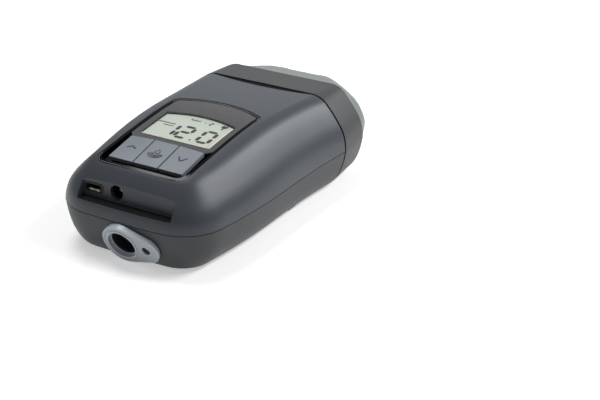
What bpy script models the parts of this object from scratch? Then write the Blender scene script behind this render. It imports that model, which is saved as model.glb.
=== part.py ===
"""Compact travel CPAP machine: two moulded casings, a domed filter cap, a display with
three push buttons, two sockets, a silicone outlet seal, and the blower inside.

Metres, +Z up. The nose with the air outlet faces -Y, the filter cap is at +Y, and the
origin lies on the ground under the middle of the machine.
"""
import math

import bmesh
import bpy
from mathutils import Matrix, Vector

MM = 0.001

# Fits shared by every piece
GAP = 0.3 * MM              # clearance between pieces that seat on each other
OVERRUN = 5.0 * MM          # how far a cutter runs past what it cuts
WALL = 2.0 * MM             # wall of the two casings and of the filter cap
ROUND_STEPS = 24            # facets of a round piece

# Casing, seen from above; "ahead" is a distance from the seam towards the nose
BODY_LENGTH = 113.4 * MM
SEAM_WIDTH = 88.6 * MM
SEAM_FLARE = 5.2 * MM        # the seam is this much wider than the waist
NOSE_TAPER = 6.4 * MM        # and the nose this much narrower
WAIST_WIDTH = SEAM_WIDTH - SEAM_FLARE
WAIST_AHEAD = 50.0 * MM
NOSE_WIDTH = WAIST_WIDTH - NOSE_TAPER
CORNER_RADIUS = 20.5 * MM
CORNER_LEAST = 3.0 * MM
NOSE_BOW = 0.4 * MM
SIDE_STEPS = 10
CORNER_STEPS = 7
NOSE_STEPS = 2

# Casing, seen from the side
FOOT_STAND = 1.3 * MM       # how far the feet lift the casing
LOWER_HEIGHT = 17.7 * MM
NOSE_RISE = 19.3 * MM       # top of the casing over the parting line, at the nose
CROWN_RISE = 25.5 * MM
SEAM_RISE = 24.5 * MM
CROWN_AHEAD = 40.0 * MM
SHOULDER_DEPTH = 17.8 * MM  # how far the rounded shoulder reaches in from the side
TUCK_DEPTH = 7.6 * MM       # how far the lower casing tucks in under the parting line
NOSE_TUCK_SHARE = 0.78      # the nose tucks in less than the sides
UPPER_PROFILE_SHARES = ((0.0, 0.0), (0.03, 0.2), (0.12, 0.39), (0.28, 0.573),
                        (0.62, 0.874), (0.82, 0.968), (1.0, 1.0))
LOWER_PROFILE_SHARES = ((0.0, 0.0), (0.12, 0.3), (0.36, 0.615), (0.70, 0.87), (1.0, 1.0))
PROFILE_STEPS = 2           # curve steps between two of those points

# Parting line and seam
TONGUE_THICKNESS = 0.9 * MM
TONGUE_RISE = 1.8 * MM
SEAM_GAP = 1.3 * MM         # between the casing and the filter cap
SEAM_BOW = 3.3 * MM         # the casing's rear edge bows forward on top
SEAM_BOW_MARGIN = 0.5 * MM
SEAM_BOW_WIDTH = SEAM_WIDTH - 2 * SHOULDER_DEPTH + 2 * SEAM_BOW_MARGIN
SEAM_OVERREACH = 1.06       # the cutter's arc runs this much past the bow's ends
GASKET_RECESS = 0.5 * MM
GASKET_DEPTH = 1.5 * MM

# Filter cap and its domed grille
CAP_LENGTH = 19.2 * MM
CAP_TAPER = 1.1 * MM
DOME_DEPTH = 28.0 * MM
DOME_STEP = 0.4 * MM        # the dome starts this far inside the cap's edge
DOME_LIFT = 4.0 * MM        # its tip lies this far above its middle
DOME_NARROWING = 1.8        # its width closes faster than its height, by this power
DOME_ROUNDING = 4.0         # its sections turn oval over a quarter of the depth
DOME_WALL = 1.8 * MM
DOME_SKIRT = 3.0 * MM
DOME_CENTRE_RISE = 4.0 * MM  # the dome's middle, above the parting line
DOME_STEPS = 8
SLOT_HEIGHT = 2.4 * MM
SLOT_PITCH = 5.6 * MM
SLOT_COUNT = 6
SLOT_REACH_SHARE = 0.74     # the slots fill this share of the dome's end view
SLOT_MIDDLE = 22.0 * MM     # length of each row's middle slot
SLOT_RIB = 2.6 * MM
CAP_TRAVEL = 25.0 * MM

# Display opening, bezel and window
DISPLAY_WIDTH = 45.0 * MM
DISPLAY_FRONT_AHEAD = 101.0 * MM
DISPLAY_CORNER_AHEAD = 38.6 * MM
DISPLAY_REAR_BOW = 6.0 * MM
DISPLAY_FRONT_RADIUS = 5.5 * MM
DISPLAY_REAR_RADIUS = 4.0 * MM
RIM_RECESS = 0.25 * MM      # bezel and facing lie this far under the casing's surface
RIM_WIDTH = 1.4 * MM
BEZEL_DEPTH = 3.2 * MM
OVERLAY_THICKNESS = 0.6 * MM
OVERLAY_FRONT_AHEAD = 78.3 * MM
OVERLAY_CORNER = 4.6 * MM
WINDOW_MARGIN = 4.7 * MM
WINDOW_WIDTH = DISPLAY_WIDTH - 2 * WINDOW_MARGIN
WINDOW_FRONT_AHEAD = 74.1 * MM
WINDOW_REAR_AHEAD = 52.9 * MM
WINDOW_REAR_BOW = 3.4 * MM

# Push buttons, in the tilted plane of the keypad
KEY_TILT = math.radians(12.0)
KEY_AHEAD = 87.2 * MM
KEY_HEIGHT = 40.0 * MM      # middle of the keypad plane above the ground
KEY_LENGTH = 17.2 * MM
KEY_GAP = 0.5 * MM
KEYPAD_MARGIN = 4.15 * MM
KEY_SPACING = (DISPLAY_WIDTH - 2 * KEYPAD_MARGIN + KEY_GAP) / 3
KEY_WIDTH = KEY_SPACING - KEY_GAP
KEY_THICKNESS = 1.9 * MM
KEY_CROWN = 0.45 * MM
KEY_EDGE = 0.45 * MM
KEY_TRAVEL = 0.6 * MM
KEY_FLOOR = 1.2 * MM        # the well's floor, which the stems pass through
STEM_INSET = 2.45 * MM
STEM_WIDTH = KEY_WIDTH - 2 * STEM_INSET
STEM_LENGTH = 9.0 * MM
STEM_LIP = 0.9 * MM
STEM_LIP_THICKNESS = 0.8 * MM
SWITCH_WIDTH = 5.2 * MM
SWITCH_BODY = 1.6 * MM
SWITCH_PLUNGER = 0.4 * MM
SWITCH_PLUNGER_RADIUS = 1.5 * MM
DISPLAY_BOARD_THICKNESS = 1.2 * MM
DISPLAY_BOARD_MARGIN = 1.5 * MM
DISPLAY_BOARD_WIDTH = DISPLAY_WIDTH - 2 * DISPLAY_BOARD_MARGIN
DISPLAY_BOARD_FRONT = 7.6 * MM   # in front of the keypad's middle
DISPLAY_BOARD_REAR = 37.0 * MM   # behind it
BEZEL_POST_RADIUS = 1.2 * MM
BEZEL_POST_INSET = 1.6 * MM
BEZEL_POST_REAR = 28.0 * MM

# Port bay with its two sockets
BAY_MARGIN = 0.7 * MM
BAY_WIDTH = DISPLAY_WIDTH + 2 * BAY_MARGIN
BAY_WALL_AHEAD = 107.0 * MM
BAY_LIP_RISE = 5.2 * MM     # its shelf, above the parting line
BAY_LEAN = math.radians(2.0)
PORT_RISE = 9.5 * MM        # the sockets' middle, above the parting line
USB_DROP = 0.3 * MM         # the USB socket sits a little lower
USB_INSET = 5.4 * MM
USB_X = USB_INSET - BAY_WIDTH / 2
USB_WIDTH = 7.8 * MM
USB_HEIGHT = 2.8 * MM
USB_LENGTH = 5.4 * MM
USB_SHELL = 0.35 * MM
USB_TONGUE = 0.6 * MM
PORT_SPACING = 11.5 * MM
JACK_X = USB_X + PORT_SPACING
JACK_HOLE_RADIUS = 3.2 * MM
JACK_BODY = 7.4 * MM
JACK_SETBACK = 1.6 * MM     # the socket stands this far behind the bay's wall
JACK_LENGTH = 9.2 * MM
JACK_BORE_DEPTH = 8.0 * MM
JACK_PIN_RADIUS = 0.85 * MM

# Outlet seal and duct
SEAL_TILT = math.radians(20.0)
SEAL_RISE = 8.3 * MM        # its middle, above the underside of the casing
SEAL_RADIUS = 9.5 * MM
SEAL_DEPTH = 3.6 * MM
SEAL_LOBE_RADIUS = 6.3 * MM
SEAL_LOBE_X = 11.8 * MM
SEAL_PROUD = 1.5 * MM
SEAL_BORE_RADIUS = 6.6 * MM
SEAL_LIP_WIDTH = 0.8 * MM
SEAL_LIP_PROUD = 0.35 * MM
SEAL_SPIGOT_WALL = 0.9 * MM
SEAL_SPIGOT_BORE = 6.0 * MM
SEAL_SPIGOT_LENGTH = 5.2 * MM
SEAL_POCKET_RADIUS = 2.2 * MM
SEAL_POCKET_DEPTH = 1.0 * MM
DUCT_RADIUS = 7.2 * MM
DUCT_WALL = 1.3 * MM
DUCT_TAP_RADIUS = 1.2 * MM
DUCT_TAP_LENGTH = 2.4 * MM

# Blower
BLOWER_AHEAD = 38.0 * MM
FOAM_THICKNESS = 4.1 * MM
FOAM_CHANNEL = 20.0 * MM
VOLUTE_START_RADIUS = 23.0 * MM
FOAM_MARGIN = 1.0 * MM
FOAM_RADIUS = VOLUTE_START_RADIUS - FOAM_MARGIN
VOLUTE_GROWTH = 5.5 * MM
VOLUTE_HALF_HEIGHT = 7.0 * MM
VOLUTE_WALL = 1.5 * MM
VOLUTE_STEPS = 28
VOLUTE_START_ANGLE = math.radians(195.0)
EYE_RADIUS = 9.5 * MM
OUTLET_STUB = 29.0 * MM
HUB_BOSS_RADIUS = 6.0 * MM
HUB_BOSS_DEPTH = 1.2 * MM
EAR_STANDOFF = 10.0 * MM
EAR_REACH = VOLUTE_START_RADIUS + EAR_STANDOFF
EAR_RADIUS = 4.6 * MM
EAR_THICKNESS = 2.0 * MM
EAR_LIFT = 1.5 * MM
EAR_ANGLES_DEG = (30.0, 150.0, 270.0)
GROMMET_RADIUS = 4.2 * MM
GROMMET_WAIST = 2.7 * MM
GROMMET_FLANGE = 1.1 * MM
POST_RADIUS = 1.5 * MM
POST_SHOULDER = 3.6 * MM

# Impeller and motor
IMPELLER_MARGIN = 3.0 * MM
IMPELLER_RADIUS = VOLUTE_START_RADIUS - IMPELLER_MARGIN
IMPELLER_DISK = 1.0 * MM
IMPELLER_CLEARANCE = 0.7 * MM
BLADE_COUNT = 9
BLADE_HEIGHT = 6.4 * MM
BLADE_THICKNESS = 0.8 * MM
BLADE_START_RADIUS = 8.5 * MM
BLADE_SWEEP = math.radians(48.0)
BLADE_STEPS = 6
HUB_RADIUS = 4.5 * MM
SHAFT_RADIUS = 1.5 * MM
BEARING_RADIUS = 4.0 * MM
BEARING_HEIGHT = 1.6 * MM
MOTOR_RADIUS = 14.0 * MM
MOTOR_HEIGHT = 12.2 * MM
MOTOR_WALL = 1.0 * MM
STATOR_WIDTH = 4.4 * MM
ROTOR_HEIGHT = 7.4 * MM
MOTOR_AIR_GAP = 0.4 * MM

# Circuit board and what stands on it
BOARD_THICKNESS = 1.6 * MM
BOARD_WIDTH = 40.0 * MM
BOARD_FRONT_WIDTH = BAY_WIDTH - 2 * BAY_MARGIN
BOARD_FRONT_LENGTH = 12.0 * MM
BOARD_REAR_AHEAD = 60.0 * MM
BOARD_POST_RADIUS = 2.2 * MM
BOARD_POST_PLACES = ((16.0 * MM, 96.5 * MM), (-16.0 * MM, 98.5 * MM), (16.5 * MM, 72.0 * MM))
HEADER_X = 12.0 * MM
HEADER_AHEAD = 84.0 * MM
HEADER_WIDTH = 12.0 * MM
HEADER_LENGTH = 5.0 * MM
CAPACITOR_X = -12.5 * MM
CAPACITOR_AHEAD = 67.0 * MM
CAPACITOR_RADIUS = 4.0 * MM
CAPACITOR_HEIGHT = 8.0 * MM
SENSOR_X = 11.0 * MM
SENSOR_AHEAD = 80.0 * MM
SENSOR_WIDTH = 7.0 * MM
SENSOR_HEIGHT = 3.4 * MM
SENSOR_BARB_RADIUS = 1.0 * MM
SENSOR_BARB_LENGTH = 2.0 * MM
TUBE_RADIUS = 1.4 * MM
TUBE_BORE = 0.7 * MM

# Rear bulkhead and air filter
BULKHEAD_AHEAD = 2.2 * MM   # its rear face
BULKHEAD_THICKNESS = 2.0 * MM
COLLAR_CLEARANCE = 0.9 * MM
COLLAR_WALL = 1.4 * MM
COLLAR_LENGTH = 7.0 * MM
FILTER_MARGIN = 14.3 * MM
FILTER_WIDTH = SEAM_WIDTH - 2 * FILTER_MARGIN
FILTER_HEIGHT = 27.0 * MM
FILTER_THICKNESS = 5.0 * MM
FILTER_CORNER = 4.0 * MM
FILTER_RIM = 1.5 * MM
BULKHEAD_BAR = 2.0 * MM
BULKHEAD_WINDOWS = 4

# Casing screws and feet
REAR_SCREW_INSET = 12.8 * MM
FRONT_SCREW_INSET = 13.5 * MM
REAR_SCREW_AHEAD = 12.5 * MM
FRONT_SCREW_AHEAD = 88.0 * MM
SCREW_PLACES = ((SEAM_WIDTH / 2 - REAR_SCREW_INSET, REAR_SCREW_AHEAD),
                (NOSE_WIDTH / 2 - FRONT_SCREW_INSET, FRONT_SCREW_AHEAD))
SCREW_RADIUS = 1.35 * MM
SCREW_HEAD_RADIUS = 2.7 * MM
SCREW_HEAD_HEIGHT = 1.6 * MM
SCREW_HEAD_DEPTH = 1.2 * MM
SCREW_LENGTH = 26.0 * MM
PILLAR_RADIUS = 4.2 * MM
BOSS_RADIUS = 3.2 * MM
FOOT_LENGTH = 10.0 * MM
FOOT_WIDTH = 5.0 * MM
FOOT_POCKET = 0.6 * MM
REAR_FOOT_INSET = 13.3 * MM
FRONT_FOOT_INSET = 18.0 * MM
REAR_FOOT_AHEAD = 30.0 * MM
FRONT_FOOT_AHEAD = 99.0 * MM
REAR_FOOT_PLACE = (SEAM_WIDTH / 2 - REAR_FOOT_INSET, REAR_FOOT_AHEAD)
FRONT_FOOT_PLACE = (NOSE_WIDTH / 2 - FRONT_FOOT_INSET, FRONT_FOOT_AHEAD)

PARTING_Z = FOOT_STAND + LOWER_HEIGHT
FLOOR_Z = FOOT_STAND + WALL


def clear_scene():
    for thing in list(bpy.data.objects):
        bpy.data.objects.remove(thing, do_unlink=True)


clear_scene()
PARTS = bpy.data.collections.new("cpap_machine")
CUTTERS = bpy.data.collections.new("cutters")
bpy.context.scene.collection.children.link(PARTS)
bpy.context.scene.collection.children.link(CUTTERS)


def material(name, colour, roughness, metallic=0.0, alpha=1.0):
    made = bpy.data.materials.new(name)
    made.use_nodes = True
    shader = made.node_tree.nodes["Principled BSDF"]
    shader.inputs["Base Color"].default_value = (*colour, 1.0)
    shader.inputs["Roughness"].default_value = roughness
    shader.inputs["Metallic"].default_value = metallic
    shader.inputs["Alpha"].default_value = alpha
    made.diffuse_color = (*colour, alpha)
    return made


UPPER_PLASTIC = material("upper_casing_abs", (0.090, 0.100, 0.116), 0.42)
LOWER_PLASTIC = material("lower_casing_abs", (0.062, 0.066, 0.073), 0.45)
CAP_PLASTIC = material("cap_abs", (0.105, 0.107, 0.112), 0.5)
GRILLE_PLASTIC = material("grille_abs", (0.25, 0.26, 0.25), 0.45)
BLACK_GLOSS = material("bezel_gloss_black", (0.012, 0.012, 0.014), 0.12)
OVERLAY_FILM = material("overlay_film", (0.10, 0.10, 0.105), 0.4)
WINDOW_CLEAR = material("window_clear", (0.8, 0.85, 0.8), 0.05, alpha=0.3)
LCD_GLASS = material("lcd_glass", (0.47, 0.53, 0.45), 0.3)
BUTTON_PLASTIC = material("button_abs", (0.23, 0.26, 0.28), 0.4)
RUBBER = material("rubber_black", (0.01, 0.01, 0.012), 0.7)
SILICONE = material("silicone_clear", (0.42, 0.47, 0.52), 0.35)
INNER_PLASTIC = material("inner_pbt", (0.72, 0.72, 0.69), 0.5)
FOAM = material("foam_grey", (0.08, 0.08, 0.085), 0.95)
FILTER_PAD = material("filter_pad", (0.85, 0.86, 0.88), 0.9)
STEEL = material("steel_bright", (0.62, 0.62, 0.62), 0.25, 1.0)
ALUMINIUM = material("aluminium_can", (0.80, 0.80, 0.80), 0.35, 1.0)
COPPER = material("copper_winding", (0.72, 0.32, 0.14), 0.35, 1.0)
MAGNET = material("magnet_dark", (0.09, 0.09, 0.10), 0.4, 0.6)
BOARD_GREEN = material("board_green", (0.02, 0.16, 0.07), 0.4)
BLACK_PLASTIC = material("connector_black", (0.015, 0.015, 0.015), 0.45)


def keep(obj, finish, smooth_angle=35.0):
    """Puts a finished piece in the model with its own material."""
    PARTS.objects.link(obj)
    obj.data.materials.clear()
    obj.data.materials.append(finish.copy())
    obj.data.materials[0].name = obj.name
    obj.data.shade_smooth()
    obj.data.set_sharp_from_angle(angle=math.radians(smooth_angle))
    return obj


def as_tool(obj):
    """Puts a shape that cuts or joins another among the cutters."""
    CUTTERS.objects.link(obj)
    obj.hide_render = True
    obj.display_type = "WIRE"
    return obj


def mesh_object(name, bm):
    bm.normal_update()
    bmesh.ops.recalc_face_normals(bm, faces=bm.faces[:])
    mesh = bpy.data.meshes.new(name)
    bm.to_mesh(mesh)
    bm.free()
    return bpy.data.objects.new(name, mesh)


def boolean(obj, tool, operation):
    change = obj.modifiers.new(operation.lower() + "_" + tool.name, "BOOLEAN")
    change.operation = operation
    change.object = tool
    change.solver = "EXACT"
    return obj


def cut(obj, *tools):
    for tool in tools:
        boolean(obj, tool, "DIFFERENCE")
    return obj


def join(obj, *tools):
    for tool in tools:
        boolean(obj, tool, "UNION")
    return obj


def within(obj, *tools):
    for tool in tools:
        boolean(obj, tool, "INTERSECT")
    return obj


def set_origin(obj, point):
    """Moves the object's origin to a point and leaves its mesh where it is."""
    obj.data.transform(Matrix.Translation(-Vector(point)))
    obj.location = point
    return obj


def box(name, low, high):
    bm = bmesh.new()
    bmesh.ops.create_cube(bm, size=1.0)
    size = [high[i] - low[i] for i in range(3)]
    middle = [(high[i] + low[i]) / 2 for i in range(3)]
    bm.transform(Matrix.Translation(middle) @ Matrix.Diagonal((*size, 1.0)))
    return mesh_object(name, bm)


def placed(obj, matrix):
    """Turns and moves a mesh by a matrix, so that its object stays at the origin."""
    obj.data.transform(matrix)
    return obj


def rod(name, radius, start, end, steps=ROUND_STEPS):
    """A cylinder from one point to another."""
    start, end = Vector(start), Vector(end)
    along = end - start
    bm = bmesh.new()
    bmesh.ops.create_cone(bm, cap_ends=True, segments=steps, radius1=radius,
                          radius2=radius, depth=along.length)
    turn = along.to_track_quat("Z", "Y").to_matrix().to_4x4()
    bm.transform(Matrix.Translation((start + end) / 2) @ turn)
    return mesh_object(name, bm)


def gathered(name, objects):
    """Several separate shapes in one mesh, used as one cutter or one joined tool."""
    bm = bmesh.new()
    for piece in objects:
        bm.from_mesh(piece.data)
        bpy.data.objects.remove(piece)
    return mesh_object(name, bm)


def flat_curve(name, outlines, thickness):
    """A filled flat outline, extruded to a thickness about the XY plane."""
    curve = bpy.data.curves.new(name, "CURVE")
    curve.dimensions = "2D"
    curve.fill_mode = "BOTH"
    curve.extrude = thickness / 2
    for outline in outlines:
        spline = curve.splines.new("POLY")
        spline.points.add(len(outline) - 1)
        for point, place in zip(spline.points, outline):
            point.co = (place[0], place[1], 0.0, 1.0)
        spline.use_cyclic_u = True
    return bpy.data.objects.new(name, curve)


def solid_from_curve(name, source, matrix):
    """The mesh that a curve object makes, welded and moved by a matrix."""
    CUTTERS.objects.link(source)
    evaluated = source.evaluated_get(bpy.context.evaluated_depsgraph_get())
    mesh = bpy.data.meshes.new_from_object(evaluated)
    bm = bmesh.new()
    bm.from_mesh(mesh)
    bmesh.ops.remove_doubles(bm, verts=bm.verts[:], dist=MM / 1000)
    bm.transform(matrix)
    bpy.data.objects.remove(source)
    return mesh_object(name, bm)


def plate(name, outline, low, high, holes=()):
    """A flat outline in plan, extruded from one height to another."""
    source = flat_curve(name + "_outline", (outline, *holes), high - low)
    return solid_from_curve(name, source, Matrix.Translation((0, 0, (low + high) / 2)))


def side_slab(name, outline, half_width):
    """An outline of (y, z) points, extruded across the machine."""
    source = flat_curve(name + "_outline", (outline,), half_width * 2)
    turn = Matrix(((0, 0, 1, 0), (1, 0, 0, 0), (0, 1, 0, 0), (0, 0, 0, 1)))
    return solid_from_curve(name, source, turn)


def turned(name, profile, centre, steps=ROUND_STEPS):
    """A profile of (radius, height) points, turned about the vertical through centre."""
    bm = bmesh.new()
    points = [bm.verts.new((radius, 0.0, height)) for radius, height in profile]
    open_at_axis = not profile[0][0] and not profile[-1][0]
    for first, second in zip(points, points[1:] if open_at_axis else points[1:] + points[:1]):
        bm.edges.new((first, second))
    mesh = bpy.data.meshes.new(name)
    bm.to_mesh(mesh)
    bm.free()
    source = bpy.data.objects.new(name, mesh)
    CUTTERS.objects.link(source)
    spin = source.modifiers.new("turned", "SCREW")
    spin.angle = 2 * math.pi
    spin.steps = steps
    spin.render_steps = steps
    spin.use_merge_vertices = True
    spin.merge_threshold = MM / 1000
    evaluated = source.evaluated_get(bpy.context.evaluated_depsgraph_get())
    made = bmesh.new()
    made.from_mesh(bpy.data.meshes.new_from_object(evaluated))
    made.transform(Matrix.Translation(centre))
    bpy.data.objects.remove(source)
    return mesh_object(name, made)


def smooth_curve(points, steps):
    """Points along a smooth curve through the given ones (Catmull-Rom)."""
    ends = [points[0], *points, points[-1]]
    dimensions = range(len(points[0]))
    made = []
    for a, b, c, d in zip(ends, ends[1:], ends[2:], ends[3:]):
        for step in range(steps):
            t = step / steps
            made.append(tuple(
                0.5 * (2 * b[k] + (c[k] - a[k]) * t
                       + (2 * a[k] - 5 * b[k] + 4 * c[k] - d[k]) * t ** 2
                       + (3 * b[k] - a[k] - 3 * c[k] + d[k]) * t ** 3)
                for k in dimensions))
    made.append(tuple(points[-1]))
    return made


def tube(name, route, radius, bore=0.0, resolution=3):
    """A pipe along a smooth route, with an open bore if one is given."""
    def piped(label, thickness, points):
        curve = bpy.data.curves.new(label, "CURVE")
        curve.dimensions = "3D"
        curve.bevel_depth = thickness
        curve.bevel_resolution = resolution
        curve.use_fill_caps = True
        spline = curve.splines.new("POLY")
        spline.points.add(len(points) - 1)
        for point, place in zip(spline.points, points):
            point.co = (*place, 1.0)
        return solid_from_curve(label, bpy.data.objects.new(label, curve), Matrix.Identity(4))
    outside = piped(name, radius, route)
    if bore:
        first, last = Vector(route[0]), Vector(route[-1])
        before = first + (first - Vector(route[1])).normalized() * radius
        after = last + (last - Vector(route[-2])).normalized() * radius
        longer = [tuple(before), *route, tuple(after)]
        cut(outside, as_tool(piped(name + "_bore", bore, longer)))
    return outside


def arc(centre, radius, start_deg, end_deg, steps):
    """Points along an arc in plan."""
    made = []
    for step in range(steps + 1):
        angle = math.radians(start_deg + (end_deg - start_deg) * step / steps)
        made.append((centre[0] + radius * math.cos(angle), centre[1] + radius * math.sin(angle)))
    return made


def rounded_corners(corners, steps=5):
    """An outline through (x, y, radius) corners, each rounded to its radius."""
    made = []
    for index, (x, y, radius) in enumerate(corners):
        here = Vector((x, y))
        if not radius:
            made.append((x, y))
            continue
        before = (Vector(corners[index - 1][:2]) - here).normalized()
        after = (Vector(corners[(index + 1) % len(corners)][:2]) - here).normalized()
        half = before.angle(after) / 2
        centre = here + (before + after).normalized() * radius / math.sin(half)
        first = here + before * radius / math.tan(half) - centre
        last = here + after * radius / math.tan(half) - centre
        sweep = first.angle_signed(last)
        for step in range(steps + 1):
            turn = Matrix.Rotation(-sweep * step / steps, 2)
            made.append(tuple(centre + turn @ first))
    return made


def shrunk(outline, distance):
    """An outline moved inwards by a distance (outwards if negative)."""
    count = len(outline)
    area = sum(outline[i - 1][0] * outline[i][1] - outline[i][0] * outline[i - 1][1]
               for i in range(count))
    side = 1 if area > 0 else -1
    made = []
    for index in range(count):
        here = Vector(outline[index])
        before = (here - Vector(outline[index - 1])).normalized()
        after = (Vector(outline[(index + 1) % count]) - here).normalized()
        first = Vector((-before.y, before.x)) * side
        second = Vector((-after.y, after.x)) * side
        middle = (first + second).normalized()
        made.append(tuple(here + middle * distance / max(middle.dot(first), 0.5)))
    return made


UPPER_PROFILE = smooth_curve(UPPER_PROFILE_SHARES, PROFILE_STEPS)
LOWER_PROFILE = smooth_curve(LOWER_PROFILE_SHARES, PROFILE_STEPS)


def between(table, value):
    """Reads a table of (depth share, height share) at a depth share."""
    for (x0, y0), (x1, y1) in zip(table, table[1:]):
        if x0 <= value <= x1:
            return y0 + (y1 - y0) * (value - x0) / (x1 - x0)
    return table[-1][1]


def nose_inset(rise):
    """How far the nose lies behind the parting line, at a height above the underside."""
    drop = (LOWER_HEIGHT - rise) / LOWER_HEIGHT
    swapped = [(height, depth) for depth, height in LOWER_PROFILE]
    return between(swapped, drop) * TUCK_DEPTH * NOSE_TUCK_SHARE


SEAL_FACE_AHEAD = BODY_LENGTH - nose_inset(SEAL_RISE) + SEAL_PROUD * math.cos(SEAL_TILT)
FRONT_REACH = SEAL_FACE_AHEAD + SEAL_RADIUS * math.sin(SEAL_TILT)
REAR_REACH = SEAM_GAP + CAP_LENGTH + GAP + DOME_DEPTH
SEAM_Y = (FRONT_REACH - REAR_REACH) / 2


def at(ahead):
    """The y of a place that lies a distance ahead of the seam."""
    return SEAM_Y - ahead


def half_width(ahead):
    """Half the casing's width at the parting line: flared to the seam, tapered to the nose."""
    if ahead < WAIST_AHEAD:
        share = 1 - ahead / WAIST_AHEAD
        return (WAIST_WIDTH + (SEAM_WIDTH - WAIST_WIDTH) * share ** 2) / 2
    share = (ahead - WAIST_AHEAD) / (BODY_LENGTH - CORNER_RADIUS - WAIST_AHEAD)
    return (WAIST_WIDTH - (WAIST_WIDTH - NOSE_WIDTH) * share ** 2) / 2


def top_rise(ahead):
    """Height of the casing's flat top above the parting line."""
    if ahead < CROWN_AHEAD:
        share = 1 - ahead / CROWN_AHEAD
        return CROWN_RISE - (CROWN_RISE - SEAM_RISE) * share ** 2
    share = max(BODY_LENGTH - ahead, 0.0) / (BODY_LENGTH - CROWN_AHEAD)
    return NOSE_RISE + (CROWN_RISE - NOSE_RISE) * share ** 2 * (3 - 2 * share)


def casing_height(x, ahead):
    """Height of the casing's outer surface over a place in plan, above the ground."""
    inset = min(half_width(ahead) - abs(x), BODY_LENGTH - ahead)
    return PARTING_Z + between(UPPER_PROFILE, min(inset / SHOULDER_DEPTH, 1.0)) * top_rise(ahead)


def plan_ring(side_inset, front_inset, rear_overrun=0.0):
    """The casing's outline in plan, drawn in from its edge."""
    radius = max(CORNER_RADIUS - max(side_inset, front_inset), CORNER_LEAST)
    corner_ahead = BODY_LENGTH - front_inset - radius
    half = []
    for step in range(SIDE_STEPS + 1):
        ahead = -rear_overrun + (corner_ahead + rear_overrun) * step / SIDE_STEPS
        half.append((half_width(ahead) - side_inset, at(ahead)))
    corner_x = half[-1][0] - radius
    half += arc((corner_x, at(corner_ahead)), radius, 0, -90, CORNER_STEPS)[1:]
    for step in range(1, NOSE_STEPS + 1):
        share = 1 - step / (NOSE_STEPS + 0.5)
        bow = NOSE_BOW * (1 - share ** 2)
        half.append((corner_x * share, at(BODY_LENGTH - front_inset + bow)))
    return half + [(-x, y) for x, y in reversed(half)]


def level_offset(profile, index, depth, height, skin):
    """How far a skin under the surface lies in from it and down or up from it."""
    before = profile[max(index - 1, 0)]
    after = profile[min(index + 1, len(profile) - 1)]
    run = (after[0] - before[0]) * depth if index else 0.0
    rise = (after[1] - before[1]) * height
    if profile is UPPER_PROFILE and index == len(profile) - 1:
        rise = 0.0
    size = math.hypot(run, rise)
    return skin * rise / size, skin * run / size


def upper_rings(skin, base, rear_overrun):
    rings = []
    for index, (depth, height) in enumerate(UPPER_PROFILE):
        inwards, down = level_offset(UPPER_PROFILE, index, SHOULDER_DEPTH, CROWN_RISE, skin)
        inset = depth * SHOULDER_DEPTH + inwards
        ring = []
        for x, y in plan_ring(inset, inset, rear_overrun):
            top = top_rise(SEAM_Y - y)
            ring.append((x, y, max(PARTING_Z + base + height * (top - base) - down,
                                   PARTING_Z + base)))
        rings.append(ring)
    return rings


def lower_rings(skin, rear_overrun):
    rings = []
    for index, (depth, height) in enumerate(LOWER_PROFILE):
        inwards, up = level_offset(LOWER_PROFILE, index, TUCK_DEPTH, LOWER_HEIGHT, skin)
        level = PARTING_Z - height * LOWER_HEIGHT + up
        if index == len(LOWER_PROFILE) - 1:
            level = FOOT_STAND + skin
        side = depth * TUCK_DEPTH + inwards
        front = depth * TUCK_DEPTH * NOSE_TUCK_SHARE + inwards
        rings.append([(x, y, level) for x, y in plan_ring(side, front, rear_overrun)])
    return rings[::-1]


def stacked(name, rings):
    """A closed form through rings of equal count, from the lowest to the highest.

    The lowest ring is closed by one flat face, and the highest by strips across it,
    because its two sides rise and fall alike.
    """
    bm = bmesh.new()
    rows = [[bm.verts.new(point) for point in ring] for ring in rings]
    count = len(rows[0])
    for low, high in zip(rows, rows[1:]):
        for index in range(count):
            following = (index + 1) % count
            bm.faces.new((low[index], low[following], high[following], high[index]))
    bm.faces.new(rows[0][::-1])
    top = rows[-1]
    for index in range(count // 2 - 1):
        bm.faces.new((top[index], top[index + 1], top[count - 2 - index], top[count - 1 - index]))
    return mesh_object(name, bm)


def casing_form(name, skin=0.0, rear_overrun=0.0):
    """The whole casing as one block, its surface a skin under the outside."""
    upper = upper_rings(skin, 0.0, rear_overrun)
    return stacked(name, lower_rings(skin, rear_overrun)[:-1] + upper)


def upright_ring(name, inset, low, high, rear_overrun=0.0):
    """The plan outline, drawn in by an inset and raised from one height to another."""
    ring = plan_ring(inset, inset, rear_overrun)
    return stacked(name, [[(x, y, z) for x, y in ring] for z in (low, high)])


def seam_section(skin):
    """The casing's cross-section at the seam, drawn in by a skin, as (x, z) points."""
    side = []
    for index, (depth, height) in list(enumerate(LOWER_PROFILE))[::-1]:
        inwards, up = level_offset(LOWER_PROFILE, index, TUCK_DEPTH, LOWER_HEIGHT, skin)
        level = PARTING_Z - height * LOWER_HEIGHT + up
        if index == len(LOWER_PROFILE) - 1:
            level = FOOT_STAND + skin
        side.append((SEAM_WIDTH / 2 - depth * TUCK_DEPTH - inwards, level))
    for index, (depth, height) in list(enumerate(UPPER_PROFILE))[1:]:
        inwards, down = level_offset(UPPER_PROFILE, index, SHOULDER_DEPTH, CROWN_RISE, skin)
        side.append((SEAM_WIDTH / 2 - depth * SHOULDER_DEPTH - inwards,
                     PARTING_Z + height * SEAM_RISE - down))
    return side + [(-x, z) for x, z in reversed(side)]


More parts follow.
